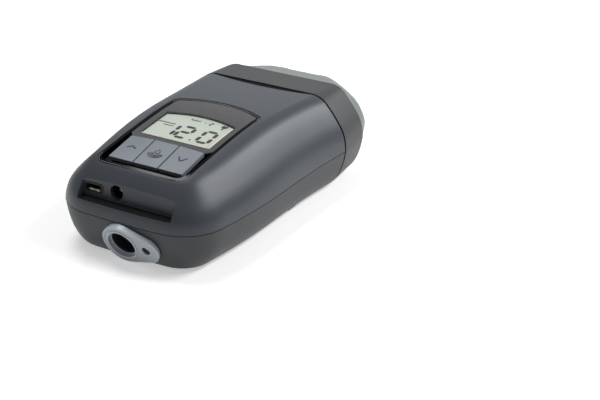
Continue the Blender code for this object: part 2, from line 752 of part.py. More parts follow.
def lofted_along(name, sections):
    """A closed form through (y, section) pairs, with flat ends."""
    bm = bmesh.new()
    rows = [[bm.verts.new((x, y, z)) for x, z in section] for y, section in sections]
    count = len(rows[0])
    for near, far in zip(rows, rows[1:]):
        for index in range(count):
            following = (index + 1) % count
            bm.faces.new((near[index], near[following], far[following], far[index]))
    bm.faces.new(rows[0])
    bm.faces.new(rows[-1][::-1])
    return mesh_object(name, bm)


def display_outline():
    """The display opening in plan: straight front and sides, and an arched rear."""
    half = DISPLAY_WIDTH / 2
    front = at(DISPLAY_FRONT_AHEAD)
    corner = at(DISPLAY_CORNER_AHEAD)
    bow = DISPLAY_REAR_BOW
    radius = (half ** 2 + bow ** 2) / (2 * bow)
    reach = math.degrees(math.asin(half / radius))
    rear = arc((0.0, corner + bow - radius), radius, 90 - reach, 90 + reach, 10)
    corners = [(-half, front, DISPLAY_FRONT_RADIUS), (half, front, DISPLAY_FRONT_RADIUS),
               (*rear[0], DISPLAY_REAR_RADIUS)]
    corners += [(x, y, 0.0) for x, y in rear[2:-2]]
    corners += [(*rear[-1], DISPLAY_REAR_RADIUS)]
    return rounded_corners(corners)


def window_outline():
    """The display window in plan, with its rear edge arched like the opening's."""
    half = WINDOW_WIDTH / 2
    front, rear = at(WINDOW_FRONT_AHEAD), at(WINDOW_REAR_AHEAD)
    bow = WINDOW_REAR_BOW
    radius = (half ** 2 + bow ** 2) / (2 * bow)
    reach = math.degrees(math.asin(half / radius))
    arch = arc((0.0, rear + bow - radius), radius, 90 - reach, 90 + reach, 8)
    return [(-half, front), (half, front), *arch]


def surface_line(drop, first_ahead, last_ahead, steps=14):
    """Points (y, z) that follow the casing's top line, a drop under it."""
    made = []
    for step in range(steps + 1):
        ahead = first_ahead + (last_ahead - first_ahead) * step / steps
        made.append((at(ahead), PARTING_Z + top_rise(ahead) - drop))
    return made


def key_place(x, along, up):
    """A point of the tilted keypad plane: across, towards the rear, and out of it."""
    return Vector((x,
                   at(KEY_AHEAD) + along * math.cos(KEY_TILT) - up * math.sin(KEY_TILT),
                   KEY_HEIGHT + along * math.sin(KEY_TILT) + up * math.cos(KEY_TILT)))


KEY_MATRIX = Matrix.Translation(key_place(0, 0, 0)) @ Matrix.Rotation(KEY_TILT, 4, "X")
WELL_FLOOR = -(KEY_THICKNESS + KEY_TRAVEL + GAP)
WELL_BOTTOM = WELL_FLOOR - KEY_FLOOR
STEM_BOTTOM = WELL_BOTTOM - GAP - STEM_LIP_THICKNESS
PLUNGER_TOP = STEM_BOTTOM - KEY_TRAVEL - GAP
SWITCH_BASE = PLUNGER_TOP - SWITCH_PLUNGER - SWITCH_BODY
DISPLAY_BOARD_TOP = SWITCH_BASE - GAP
DISPLAY_BOARD_BASE = DISPLAY_BOARD_TOP - DISPLAY_BOARD_THICKNESS
KEY_NAMES = (("up", -1), ("ramp", 0), ("down", 1))


def key_box(name, low, high):
    """A box in the keypad's tilted frame."""
    return placed(box(name, low, high), KEY_MATRIX)


PORT_Z = PARTING_Z + PORT_RISE
USB_Z = PORT_Z - USB_DROP
BAY_LIP_Z = PARTING_Z + BAY_LIP_RISE
BAY_INNER_Y = at(BAY_WALL_AHEAD) + WALL
BOARD_TOP = PORT_Z - JACK_BODY / 2 - GAP
BOARD_BASE = BOARD_TOP - BOARD_THICKNESS
BOARD_FRONT_Y = BAY_INNER_Y + GAP

BLOWER_Y = at(BLOWER_AHEAD)
BLOWER_BASE_Z = FLOOR_Z + GAP + FOAM_THICKNESS + GAP
BLOWER_SPLIT_Z = BLOWER_BASE_Z + VOLUTE_HALF_HEIGHT
BLOWER_TOP_Z = BLOWER_SPLIT_Z + VOLUTE_HALF_HEIGHT
STUB_X = -(VOLUTE_START_RADIUS + VOLUTE_GROWTH - DUCT_RADIUS - GAP)
EAR_BASE_Z = BLOWER_BASE_Z + EAR_LIFT
GROMMET_BASE_Z = EAR_BASE_Z - GAP - GROMMET_FLANGE
GROMMET_TOP_Z = EAR_BASE_Z + EAR_THICKNESS + GAP + GROMMET_FLANGE
POST_SHOULDER_Z = GROMMET_BASE_Z - GAP
POST_TOP_Z = GROMMET_TOP_Z + GAP
EAR_PLACES = [(EAR_REACH * math.cos(math.radians(angle)),
               BLOWER_Y + EAR_REACH * math.sin(math.radians(angle)))
              for angle in EAR_ANGLES_DEG]

SEAL_OUT = Vector((0.0, -math.cos(SEAL_TILT), -math.sin(SEAL_TILT)))
SEAL_UP = Vector((0.0, -math.sin(SEAL_TILT), math.cos(SEAL_TILT)))
SEAL_FACE = Vector((0.0, at(SEAL_FACE_AHEAD),
                    FOOT_STAND + SEAL_RISE - SEAL_PROUD * math.sin(SEAL_TILT)))
SEAL_MATRIX = Matrix.Translation(SEAL_FACE) @ Matrix.Rotation(math.pi / 2 + SEAL_TILT, 4, "X")
SPIGOT_RADIUS = SEAL_SPIGOT_BORE + SEAL_SPIGOT_WALL

SCREWS = [(side * x, at(ahead), label + hand)
          for (x, ahead), label in zip(SCREW_PLACES, ("rear_", "front_"))
          for side, hand in ((-1, "left"), (1, "right"))]
FEET = [(side * x, at(ahead), label + hand)
        for (x, ahead), label in ((REAR_FOOT_PLACE, "rear_"), (FRONT_FOOT_PLACE, "front_"))
        for side, hand in ((-1, "left"), (1, "right"))]
PILLAR_TOP = PARTING_Z - GAP
BOSS_BASE = PARTING_Z + GAP


def foot_outline(x, y, grow=0.0):
    """A foot in plan: a straight pad with round ends."""
    radius = FOOT_WIDTH / 2
    straight = FOOT_LENGTH / 2 - radius
    outline = arc((x, y + straight), radius, 0, 180, 8) + arc((x, y - straight), radius, 180, 360, 8)
    return shrunk(outline, -grow)


def seal_outline(grow=0.0):
    """The seal's teardrop in its own plane: two round lobes and their tangents."""
    big, small = SEAL_RADIUS + grow, SEAL_LOBE_RADIUS + grow
    lean = math.degrees(math.acos((big - small) / SEAL_LOBE_X))
    return (arc((0.0, 0.0), big, lean, 360 - lean, 26)
            + arc((SEAL_LOBE_X, 0.0), small, -lean, lean, 14))


def upper_fittings():
    """Screw bosses and the walls behind the port bay, trimmed inside the casing's skin."""
    high = PARTING_Z + CROWN_RISE
    shapes = [rod("boss", BOSS_RADIUS, (x, y, BOSS_BASE), (x, y, high)) for x, y, label in SCREWS]
    shapes.append(box("bay_walls", (-BAY_WIDTH / 2 - WALL, at(BODY_LENGTH), BAY_LIP_Z - WALL),
                      (BAY_WIDTH / 2 + WALL, BAY_INNER_Y, high)))
    fittings = as_tool(gathered("upper_fittings", shapes))
    return within(fittings, as_tool(casing_form("upper_fittings_limit", WALL / 2)))


def bay_cutter():
    """The notch in the nose that the sockets open into."""
    low = (-BAY_WIDTH / 2, -BODY_LENGTH, 0.0)
    high = (BAY_WIDTH / 2, 0.0, BODY_LENGTH)
    notch = box("bay_notch", low, high)
    lean = Matrix.Translation((0, at(BAY_WALL_AHEAD), BAY_LIP_Z))
    notch.data.transform(lean)
    for vertex in notch.data.vertices:
        if vertex.co.y > at(BODY_LENGTH):
            vertex.co.y += (vertex.co.z - BAY_LIP_Z) * math.tan(BAY_LEAN)
    return as_tool(notch)


def seam_cutter(name, offset, low, high, behind):
    """The space behind the casing's rear edge, which bows forward on top, or before it."""
    half, bow = SEAM_BOW_WIDTH / 2, SEAM_BOW
    radius = (half ** 2 + bow ** 2) / (2 * bow)
    reach = math.degrees(math.asin(half / radius))
    if behind:
        reach *= SEAM_OVERREACH
    edge = arc((0.0, SEAM_Y - bow + radius + offset), radius, -90 - reach, -90 + reach, 12)
    far = SEAM_Y + CAP_LENGTH if behind else SEAM_Y - CAP_LENGTH
    side = edge[-1][0] if behind else SEAM_WIDTH / 2 + OVERRUN
    wings = [] if behind else [(side, SEAM_Y + offset)]
    outline = [*edge, *wings, (side, far), (-side, far), *[(-x, y) for x, y in wings]]
    return as_tool(plate(name, outline, low, high))


def make_upper_casing():
    casing = stacked("upper_casing", upper_rings(0.0, GAP / 2, 0.0))
    cavity = stacked("upper_cavity", [
        [(x, y, PARTING_Z - OVERRUN) for x, y in plan_ring(WALL, WALL, OVERRUN)],
        *upper_rings(WALL, 0.0, OVERRUN)])
    rebate = upright_ring("upper_rebate", WALL - TONGUE_THICKNESS - GAP,
                          PARTING_Z - OVERRUN, PARTING_Z + TONGUE_RISE + GAP, OVERRUN)
    opening = plate("display_opening", display_outline(),
                    PARTING_Z + OVERRUN, PARTING_Z + CROWN_RISE + OVERRUN)
    usb_slot = box("usb_slot",
                   (USB_X - USB_WIDTH / 2 - GAP, at(BODY_LENGTH), USB_Z - USB_HEIGHT / 2 - GAP),
                   (USB_X + USB_WIDTH / 2 + GAP, BAY_INNER_Y + OVERRUN,
                    USB_Z + USB_HEIGHT / 2 + GAP))
    jack_hole = rod("jack_hole", JACK_HOLE_RADIUS, (JACK_X, at(BODY_LENGTH), PORT_Z),
                    (JACK_X, BAY_INNER_Y + OVERRUN, PORT_Z))
    pilots = gathered("boss_holes", [
        rod("pilot", SCREW_RADIUS + GAP, (x, y, BOSS_BASE - OVERRUN),
            (x, y, FOOT_STAND + SCREW_HEAD_DEPTH + SCREW_LENGTH + GAP * 2)) for x, y, label in SCREWS])
    cut(casing, as_tool(cavity), as_tool(rebate))
    join(casing, upper_fittings())
    cut(casing, as_tool(opening), bay_cutter(), as_tool(usb_slot), as_tool(jack_hole),
        as_tool(pilots))
    cut(casing, seam_cutter("seam_behind", 0.0, PARTING_Z - OVERRUN,
                            PARTING_Z + CROWN_RISE + OVERRUN, True))
    return keep(casing, UPPER_PLASTIC)


def lower_fittings():
    """Screw pillars, blower posts and board posts, trimmed inside the casing's skin."""
    shapes = [rod("pillar", PILLAR_RADIUS, (x, y, FOOT_STAND), (x, y, PILLAR_TOP))
              for x, y, label in SCREWS]
    for x, y in EAR_PLACES:
        shapes.append(turned("blower_post", (
            (0.0, POST_TOP_Z), (POST_RADIUS, POST_TOP_Z), (POST_RADIUS, POST_SHOULDER_Z),
            (POST_SHOULDER, POST_SHOULDER_Z), (POST_SHOULDER, FOOT_STAND), (0.0, FOOT_STAND)),
            (x, y, 0.0), 16))
    for x, ahead in BOARD_POST_PLACES:
        shapes.append(rod("board_post", BOARD_POST_RADIUS, (x, at(ahead), FOOT_STAND),
                          (x, at(ahead), BOARD_BASE - GAP), 16))
    fittings = as_tool(gathered("lower_fittings", shapes))
    return within(fittings, as_tool(casing_form("lower_fittings_limit", WALL / 2)))


def make_lower_casing():
    rings = lower_rings(0.0, 0.0)
    rings[-1] = [(x, y, PARTING_Z - GAP / 2) for x, y, z in rings[-1]]
    casing = stacked("lower_casing", rings)
    tongue = upright_ring("tongue", WALL - TONGUE_THICKNESS, PARTING_Z - TONGUE_RISE,
                          PARTING_Z + TONGUE_RISE, -GAP)
    cavity_rings = lower_rings(WALL, OVERRUN)
    cavity_rings.append([(x, y, z + OVERRUN) for x, y, z in cavity_rings[-1]])
    screw_holes = []
    for x, y, label in SCREWS:
        screw_holes.append(turned("screw_hole", (
            (0.0, PILLAR_TOP + OVERRUN), (SCREW_RADIUS + GAP, PILLAR_TOP + OVERRUN),
            (SCREW_RADIUS + GAP, FOOT_STAND + SCREW_HEAD_DEPTH + SCREW_HEAD_HEIGHT + GAP),
            (SCREW_HEAD_RADIUS + GAP, FOOT_STAND + SCREW_HEAD_DEPTH + SCREW_HEAD_HEIGHT + GAP),
            (SCREW_HEAD_RADIUS + GAP, FOOT_STAND - OVERRUN), (0.0, FOOT_STAND - OVERRUN)),
            (x, y, 0.0), 16))
    pockets = [plate("foot_pocket", foot_outline(x, y, GAP), FOOT_STAND - OVERRUN,
                     FOOT_STAND + FOOT_POCKET + GAP) for x, y, label in FEET]
    outlet_hole = rod("outlet_hole", SPIGOT_RADIUS + GAP,
                      SEAL_FACE + SEAL_OUT * OVERRUN,
                      SEAL_FACE - SEAL_OUT * (SEAL_SPIGOT_LENGTH + SEAL_PROUD))
    join(casing, as_tool(tongue))
    cut(casing, as_tool(stacked("lower_cavity", cavity_rings)))
    join(casing, lower_fittings())
    cut(casing, as_tool(gathered("screw_holes", screw_holes)),
        as_tool(gathered("foot_pockets", pockets)), as_tool(outlet_hole))
    return keep(casing, LOWER_PLASTIC)


def make_seam_gasket():
    """Black rubber between the casing and the cap: thin at the sides, wide on top."""
    near, far = SEAM_Y - SEAM_BOW - GAP, SEAM_Y + SEAM_GAP - GAP
    gasket = lofted_along("seam_gasket", [(y, seam_section(GASKET_RECESS)) for y in (near, far)])
    inner = seam_section(GASKET_RECESS + GASKET_DEPTH)
    hollow = lofted_along("gasket_hollow", [(near - OVERRUN, inner), (far + OVERRUN, inner)])
    cut(gasket, as_tool(hollow))
    cut(gasket, seam_cutter("seam_before", GAP, PARTING_Z, PARTING_Z + CROWN_RISE + OVERRUN, False))
    side = SEAM_WIDTH / 2 + OVERRUN
    cut(gasket, as_tool(box("seam_before_low", (-side, SEAM_Y - CAP_LENGTH, -OVERRUN),
                            (side, SEAM_Y + GAP * 1.5, PARTING_Z + GAP))))
    return keep(gasket, RUBBER)


CAP_FRONT_Y = SEAM_Y + SEAM_GAP
CAP_REAR_Y = CAP_FRONT_Y + CAP_LENGTH
DOME_Y = CAP_REAR_Y + GAP
DOME_CENTRE_Z = PARTING_Z + DOME_CENTRE_RISE


def make_filter_cap():
    cap = lofted_along("filter_cap", [(CAP_FRONT_Y, seam_section(0.0)),
                                      (CAP_REAR_Y, seam_section(CAP_TAPER))])
    slope = CAP_TAPER / CAP_LENGTH
    hollow = lofted_along("cap_hollow", [
        (CAP_FRONT_Y - OVERRUN, seam_section(WALL - slope * OVERRUN)),
        (CAP_REAR_Y + OVERRUN, seam_section(WALL + CAP_TAPER + slope * OVERRUN))])
    cut(cap, as_tool(hollow))
    return keep(cap, CAP_PLASTIC)


def dome_rings(skin, depth, steps):
    """Sections of the dome: the cap's section at first, then ovals that close to its tip."""
    base = [(x, z - DOME_CENTRE_Z) for x, z in seam_section(skin)]
    wide = max(x for x, z in base)
    high, low = max(z for x, z in base), min(z for x, z in base)
    rings = []
    for step in range(steps):
        angle = math.pi / 2 * step / steps
        reach, share = math.sin(angle), math.cos(angle)
        oval = min(DOME_ROUNDING * reach, 1.0)
        ring = []
        for x, z in base:
            size = math.hypot(x / wide, z / (high if z > 0 else low))
            rounded = 1 - oval + oval / size
            ring.append((x * rounded * share ** DOME_NARROWING,
                         DOME_CENTRE_Z + DOME_LIFT * reach + z * rounded * share))
        rings.append((DOME_Y + depth * reach, ring))
    return rings


def dome_solid(name, skin, depth, front):
    """A solid dome with a short skirt in front, ending in a point."""
    rings = [(front, seam_section(skin)), *dome_rings(skin, depth, DOME_STEPS)]
    bm = bmesh.new()
    rows = [[bm.verts.new((x, y, z)) for x, z in section] for y, section in rings]
    tip = bm.verts.new((0.0, DOME_Y + depth, DOME_CENTRE_Z + DOME_LIFT))
    count = len(rows[0])
    for near, far in zip(rows, rows[1:]):
        for index in range(count):
            following = (index + 1) % count
            bm.faces.new((near[index], near[following], far[following], far[index]))
    for index in range(count):
        bm.faces.new((rows[-1][index], rows[-1][(index + 1) % count], tip))
    bm.faces.new(rows[0])
    return mesh_object(name, bm)


def slot_half_length(z):
    """Half the length of an inlet slot at a height, inside the dome's end view."""
    share = SLOT_REACH_SHARE
    level = DOME_CENTRE_Z + (z - DOME_CENTRE_Z) / share
    side = seam_section(CAP_TAPER + DOME_STEP + DOME_WALL)
    side = side[:len(side) // 2]
    for (x0, z0), (x1, z1) in zip(side, side[1:]):
        if z0 <= level <= z1:
            return share * (x0 + (x1 - x0) * (level - z0) / (z1 - z0))
    return share * side[-1][0] / 2


def make_inlet_grille():
    skin = CAP_TAPER + DOME_STEP
    skirt_skin = CAP_TAPER + WALL + GAP
    grille = dome_solid("inlet_grille", skin, DOME_DEPTH, DOME_Y)
    rings = [(DOME_Y - GAP - DOME_SKIRT, seam_section(skirt_skin)),
             (DOME_Y + GAP, seam_section(skirt_skin))]
    skirt = as_tool(lofted_along("dome_skirt", rings))
    hollow = as_tool(dome_solid("dome_hollow", skirt_skin + DOME_WALL, DOME_DEPTH - DOME_WALL,
                                DOME_Y - DOME_SKIRT - OVERRUN))
    slots = []
    for index in range(SLOT_COUNT):
        z = DOME_CENTRE_Z + SLOT_PITCH * (index - (SLOT_COUNT - 1) / 2)
        reach = slot_half_length(z) - SLOT_HEIGHT / 2
        middle = SLOT_MIDDLE / 2 - SLOT_HEIGHT / 2
        side = SLOT_MIDDLE / 2 + SLOT_RIB + SLOT_HEIGHT / 2
        spans = [(-min(middle, reach), min(middle, reach))]
        if reach > side + SLOT_HEIGHT:
            spans += [(side, reach), (-reach, -side)]
        for left, right in spans:
            outline = (arc((right, z), SLOT_HEIGHT / 2, -90, 90, 5)
                       + arc((left, z), SLOT_HEIGHT / 2, 90, 270, 5))
            sections = [(DOME_Y + DOME_WALL, outline), (DOME_Y + DOME_DEPTH + OVERRUN, outline)]
            slots.append(lofted_along("inlet_slot", sections))
    join(grille, skirt)
    cut(grille, hollow, as_tool(gathered("inlet_slots", slots)))
    grille.modifiers[-1].solver = "MANIFOLD"
    return keep(grille, GRILLE_PLASTIC)


def make_inlet_bulkhead():
    rear = at(BULKHEAD_AHEAD)
    front = rear - BULKHEAD_THICKNESS
    middle = DOME_CENTRE_Z
    bulkhead = lofted_along("inlet_bulkhead", [(front, seam_section(WALL + COLLAR_CLEARANCE)),
                                               (rear, seam_section(WALL + COLLAR_CLEARANCE))])
    collar = lofted_along("collar", [
        (rear - BULKHEAD_THICKNESS / 2, seam_section(WALL + COLLAR_CLEARANCE)),
        (rear + COLLAR_LENGTH, seam_section(WALL + COLLAR_CLEARANCE))])
    inside = seam_section(WALL + COLLAR_CLEARANCE + COLLAR_WALL)
    cut(collar, as_tool(lofted_along("collar_inside", [
        (rear - BULKHEAD_THICKNESS - OVERRUN, inside), (rear + COLLAR_LENGTH + OVERRUN, inside)])))
    pocket = (FILTER_WIDTH / 2 + GAP, FILTER_HEIGHT / 2 + GAP)
    rim = box("filter_rim", (-pocket[0] - FILTER_RIM, rear - BULKHEAD_THICKNESS / 2,
                             middle - pocket[1] - FILTER_RIM),
              (pocket[0] + FILTER_RIM, rear + FILTER_THICKNESS, middle + pocket[1] + FILTER_RIM))
    rim_hole = box("filter_pocket", (-pocket[0], rear - BULKHEAD_THICKNESS - OVERRUN,
                                     middle - pocket[1]),
                   (pocket[0], rear + FILTER_THICKNESS + OVERRUN, middle + pocket[1]))
    cut(rim, as_tool(rim_hole))
    windows = []
    pitch = (FILTER_WIDTH - BULKHEAD_BAR) / BULKHEAD_WINDOWS
    for index in range(BULKHEAD_WINDOWS):
        left = -FILTER_WIDTH / 2 + BULKHEAD_BAR + index * pitch
        windows.append(box("window", (left, front - OVERRUN,
                                      middle - FILTER_HEIGHT / 2 + BULKHEAD_BAR),
                           (left + pitch - BULKHEAD_BAR, rear + OVERRUN,
                            middle + FILTER_HEIGHT / 2 - BULKHEAD_BAR)))
    join(bulkhead, as_tool(collar), as_tool(rim))
    cut(bulkhead, as_tool(gathered("bulkhead_windows", windows)))
    return keep(bulkhead, INNER_PLASTIC)


def make_air_filter():
    rear = at(BULKHEAD_AHEAD) + GAP
    half, tall = FILTER_WIDTH / 2, FILTER_HEIGHT / 2
    outline = rounded_corners([(half, tall, FILTER_CORNER), (-half, tall, FILTER_CORNER),
                               (-half, -tall, FILTER_CORNER), (half, -tall, FILTER_CORNER)])
    section = [(x, DOME_CENTRE_Z + z) for x, z in outline]
    pad = lofted_along("air_filter", [(rear, section), (rear + FILTER_THICKNESS, section)])
    return keep(pad, FILTER_PAD)


def make_display_bezel():
    """Glossy tray in the opening: flush rim, bed for the facing, and a well for the keys."""
    outline = display_outline()
    low, high = PARTING_Z + OVERRUN, PARTING_Z + CROWN_RISE + OVERRUN
    bezel = plate("display_bezel", shrunk(outline, GAP), low, high)
    within(bezel, as_tool(casing_form("bezel_surface", RIM_RECESS)))
    bed_drop = RIM_RECESS + OVERLAY_THICKNESS + GAP
    well_rear = key_place(0, KEY_LENGTH / 2 + KEY_CROWN + GAP, WELL_FLOOR)
    well_front = key_place(0, -KEY_LENGTH, WELL_FLOOR)
    bed = surface_line(bed_drop, DISPLAY_CORNER_AHEAD - DISPLAY_REAR_BOW - OVERRUN,
                       SEAM_Y - well_rear.y)
    tray_side = [*bed, (well_rear.y, well_rear.z), (well_front.y, well_front.z),
                 (well_front.y, high), (bed[0][0], high)]
    tray = plate("tray_plan", shrunk(outline, GAP + RIM_WIDTH), low, high + OVERRUN)
    within(as_tool(tray), as_tool(side_slab("tray_side", tray_side, DISPLAY_WIDTH)))
    under = surface_line(BEZEL_DEPTH, DISPLAY_CORNER_AHEAD - DISPLAY_REAR_BOW - OVERRUN,
                         SEAM_Y - well_rear.y - KEY_FLOOR)
    bottom_rear = key_place(0, KEY_LENGTH / 2 + KEY_CROWN + GAP + KEY_FLOOR, WELL_BOTTOM)
    bottom_front = key_place(0, -KEY_LENGTH, WELL_BOTTOM)
    under_side = [*under, (bottom_rear.y, bottom_rear.z), (bottom_front.y, bottom_front.z),
                  (bottom_front.y, low - OVERRUN), (under[0][0], low - OVERRUN)]
    cut(bezel, as_tool(side_slab("bezel_under", under_side, DISPLAY_WIDTH)), tray)
    posts = []
    inset = DISPLAY_WIDTH / 2 - GAP - BEZEL_POST_INSET
    for x in (-inset, inset):
        for along in (0.0, BEZEL_POST_REAR):
            posts.append(rod("post", BEZEL_POST_RADIUS, key_place(x, along, DISPLAY_BOARD_TOP + GAP),
                             key_place(x, along, WELL_FLOOR - KEY_FLOOR / 2), 12))
    join(bezel, as_tool(gathered("bezel_posts", posts)))
    stems = [key_box("stem_hole", (
        side * KEY_SPACING - STEM_WIDTH / 2 - GAP, -STEM_LENGTH / 2 - GAP, WELL_BOTTOM - OVERRUN),
        (side * KEY_SPACING + STEM_WIDTH / 2 + GAP, STEM_LENGTH / 2 + GAP, 0.0))
        for name, side in KEY_NAMES]
    cut(bezel, as_tool(gathered("stem_holes", stems)),
        as_tool(plate("bezel_window", window_outline(), low, high + OVERRUN)))
    return keep(bezel, BLACK_GLOSS)


def strip_under_surface(name, top_drop, thickness):
    """A sheet that follows the casing's top line, as a slab across the machine."""
    first = DISPLAY_CORNER_AHEAD - DISPLAY_REAR_BOW - OVERRUN
    top = surface_line(top_drop, first, DISPLAY_FRONT_AHEAD)
    below = surface_line(top_drop + thickness, first, DISPLAY_FRONT_AHEAD)
    return as_tool(side_slab(name, top + below[::-1], DISPLAY_WIDTH))


def make_display_overlay():
    """Satin facing round the window, cut off behind the keys."""
    low, high = PARTING_Z + OVERRUN, PARTING_Z + CROWN_RISE + OVERRUN
    overlay = plate("display_overlay", shrunk(display_outline(), GAP * 2 + RIM_WIDTH), low, high)
    half = DISPLAY_WIDTH / 2
    corner = OVERLAY_CORNER
    front = [(-half, at(OVERLAY_FRONT_AHEAD) + corner), (-half + corner, at(OVERLAY_FRONT_AHEAD)),
             (half - corner, at(OVERLAY_FRONT_AHEAD)), (half, at(OVERLAY_FRONT_AHEAD) + corner),
             (half, at(BODY_LENGTH)), (-half, at(BODY_LENGTH))]
    within(overlay, strip_under_surface("overlay_sheet", RIM_RECESS, OVERLAY_THICKNESS))
    cut(overlay, as_tool(plate("overlay_front", front, low - OVERRUN, high + OVERRUN)),
        as_tool(plate("overlay_window", window_outline(), low - OVERRUN, high + OVERRUN)))
    return keep(overlay, OVERLAY_FILM)


def make_display_window():
    low, high = PARTING_Z + OVERRUN, PARTING_Z + CROWN_RISE + OVERRUN
    window = plate("display_window", shrunk(window_outline(), GAP), low, high)
    within(window, strip_under_surface("window_sheet", RIM_RECESS, OVERLAY_THICKNESS))
    return keep(window, WINDOW_CLEAR)


def make_lcd_module():
    """Glass cell and its wedge holder, between the window and the display board."""
    low, high = PARTING_Z + OVERRUN, PARTING_Z + CROWN_RISE + OVERRUN
    module = plate("lcd_module", shrunk(window_outline(), GAP), low, high)
    drop = RIM_RECESS + OVERLAY_THICKNESS + GAP
    ends = (WINDOW_REAR_AHEAD - WINDOW_REAR_BOW - GAP, WINDOW_FRONT_AHEAD + GAP)
    top = [(at(ahead), PARTING_Z + top_rise(ahead) - drop) for ahead in ends]
    board = []
    for y, z in top:
        along = (y - at(KEY_AHEAD)) / math.cos(KEY_TILT)
        seat = key_place(0, along, DISPLAY_BOARD_TOP + GAP)
        rise = (y - seat.y) * math.tan(KEY_TILT)
        board.append((y, seat.z + rise))
    within(module, as_tool(side_slab("lcd_side", [*top, *board[::-1]], WINDOW_WIDTH)))
    return keep(module, LCD_GLASS)


def make_button(name, side):
    """A key with crowned top, stem through the well's floor, and a lip that keeps it in."""
    half_x, half_y = KEY_WIDTH / 2, KEY_LENGTH / 2
    centre = side * KEY_SPACING
    button = box("button_" + name, (centre - half_x, -half_y, -KEY_THICKNESS),
                 (centre + half_x, half_y, 0.0))
    middle_edge = KEY_SPACING / 2
    for vertex in button.data.vertices:
        if vertex.co.z > -KEY_THICKNESS / 2:
            inner = abs(vertex.co.x) < middle_edge + GAP
            if vertex.co.y > 0 and (inner or not side):
                vertex.co.z += KEY_CROWN
            elif vertex.co.y > 0:
                vertex.co.z -= KEY_CROWN / 2
    bm = bmesh.new()
    bm.from_mesh(button.data)
    top = [edge for edge in bm.edges if max(v.co.z for v in edge.verts) > -KEY_THICKNESS / 2]
    bmesh.ops.bevel(bm, geom=top, offset=KEY_EDGE, segments=2, profile=0.5, affect="EDGES")
    bm.to_mesh(button.data)
    bm.free()
    placed(button, KEY_MATRIX)
    half_w, half_l, lip = STEM_WIDTH / 2, STEM_LENGTH / 2, STEM_LIP
    stem = key_box("stem_" + name, (centre - half_w, -half_l, STEM_BOTTOM),
                   (centre + half_w, half_l, -KEY_THICKNESS / 2))
    hook = key_box("lip_" + name, (centre - half_w, -half_l - lip, STEM_BOTTOM),
                   (centre + half_w, half_l + lip, STEM_BOTTOM + STEM_LIP_THICKNESS))
    join(button, as_tool(stem), as_tool(hook))
    set_origin(button, key_place(centre, 0, 0))
    return keep(button, BUTTON_PLASTIC)


def make_switch(name, side):
    centre = side * KEY_SPACING
    half = SWITCH_WIDTH / 2
    switch = key_box("switch_" + name, (centre - half, -half, SWITCH_BASE),
                     (centre + half, half, SWITCH_BASE + SWITCH_BODY))
    plunger = rod("plunger_" + name, SWITCH_PLUNGER_RADIUS,
                  key_place(centre, 0, SWITCH_BASE + SWITCH_BODY / 2),
                  key_place(centre, 0, PLUNGER_TOP), 12)
    return keep(join(switch, as_tool(plunger)), BLACK_PLASTIC)


def make_display_board():
    half = DISPLAY_BOARD_WIDTH / 2
    board = key_box("display_board", (-half, -DISPLAY_BOARD_FRONT, DISPLAY_BOARD_BASE),
                    (half, DISPLAY_BOARD_REAR, DISPLAY_BOARD_TOP))
    return keep(board, BOARD_GREEN)


def make_main_board():
    half, front_half = BOARD_WIDTH / 2, BOARD_FRONT_WIDTH / 2
    front, step = BOARD_FRONT_Y, BOARD_FRONT_Y + BOARD_FRONT_LENGTH
    rear = at(BOARD_REAR_AHEAD)
    outline = [(-front_half, front), (front_half, front), (front_half, step), (half, step),
               (half, rear), (-half, rear), (-half, step), (-front_half, step)]
    return keep(plate("main_board", outline, BOARD_BASE, BOARD_TOP), BOARD_GREEN)


def make_usb_port():
    front = BAY_INNER_Y + GAP
    rear = front + USB_LENGTH
    half, tall = USB_WIDTH / 2, USB_HEIGHT / 2
    port = box("usb_port", (USB_X - half, front, USB_Z - tall), (USB_X + half, rear, USB_Z + tall))
    stand = box("usb_stand", (USB_X - half, front, BOARD_TOP + GAP),
                (USB_X + half, rear, USB_Z - tall + USB_SHELL / 2))
    hollow = box("usb_hollow", (USB_X - half + USB_SHELL, front - OVERRUN,
                                USB_Z - tall + USB_SHELL),
                 (USB_X + half - USB_SHELL, rear - USB_SHELL * 2, USB_Z + tall - USB_SHELL))
    tongue = box("usb_tongue", (USB_X - half / 2, front + USB_SHELL, USB_Z),
                 (USB_X + half / 2, rear - USB_SHELL, USB_Z + USB_TONGUE))
    join(port, as_tool(stand))
    cut(port, as_tool(hollow))
    join(port, as_tool(tongue))
    return keep(port, STEEL)


def make_power_jack():
    front = BAY_INNER_Y + JACK_SETBACK
    half = JACK_BODY / 2
    jack = box("power_jack", (JACK_X - half, front, PORT_Z - half),
               (JACK_X + half, front + JACK_LENGTH, PORT_Z + half))
    bore = rod("jack_bore", JACK_HOLE_RADIUS - GAP, (JACK_X, front - OVERRUN, PORT_Z),
               (JACK_X, front + JACK_BORE_DEPTH, PORT_Z))
    pin = rod("jack_pin", JACK_PIN_RADIUS, (JACK_X, front, PORT_Z),
              (JACK_X, front + (JACK_LENGTH + JACK_BORE_DEPTH) / 2, PORT_Z), 12)
    cut(jack, as_tool(bore))
    join(jack, as_tool(pin))
    return keep(jack, BLACK_PLASTIC)


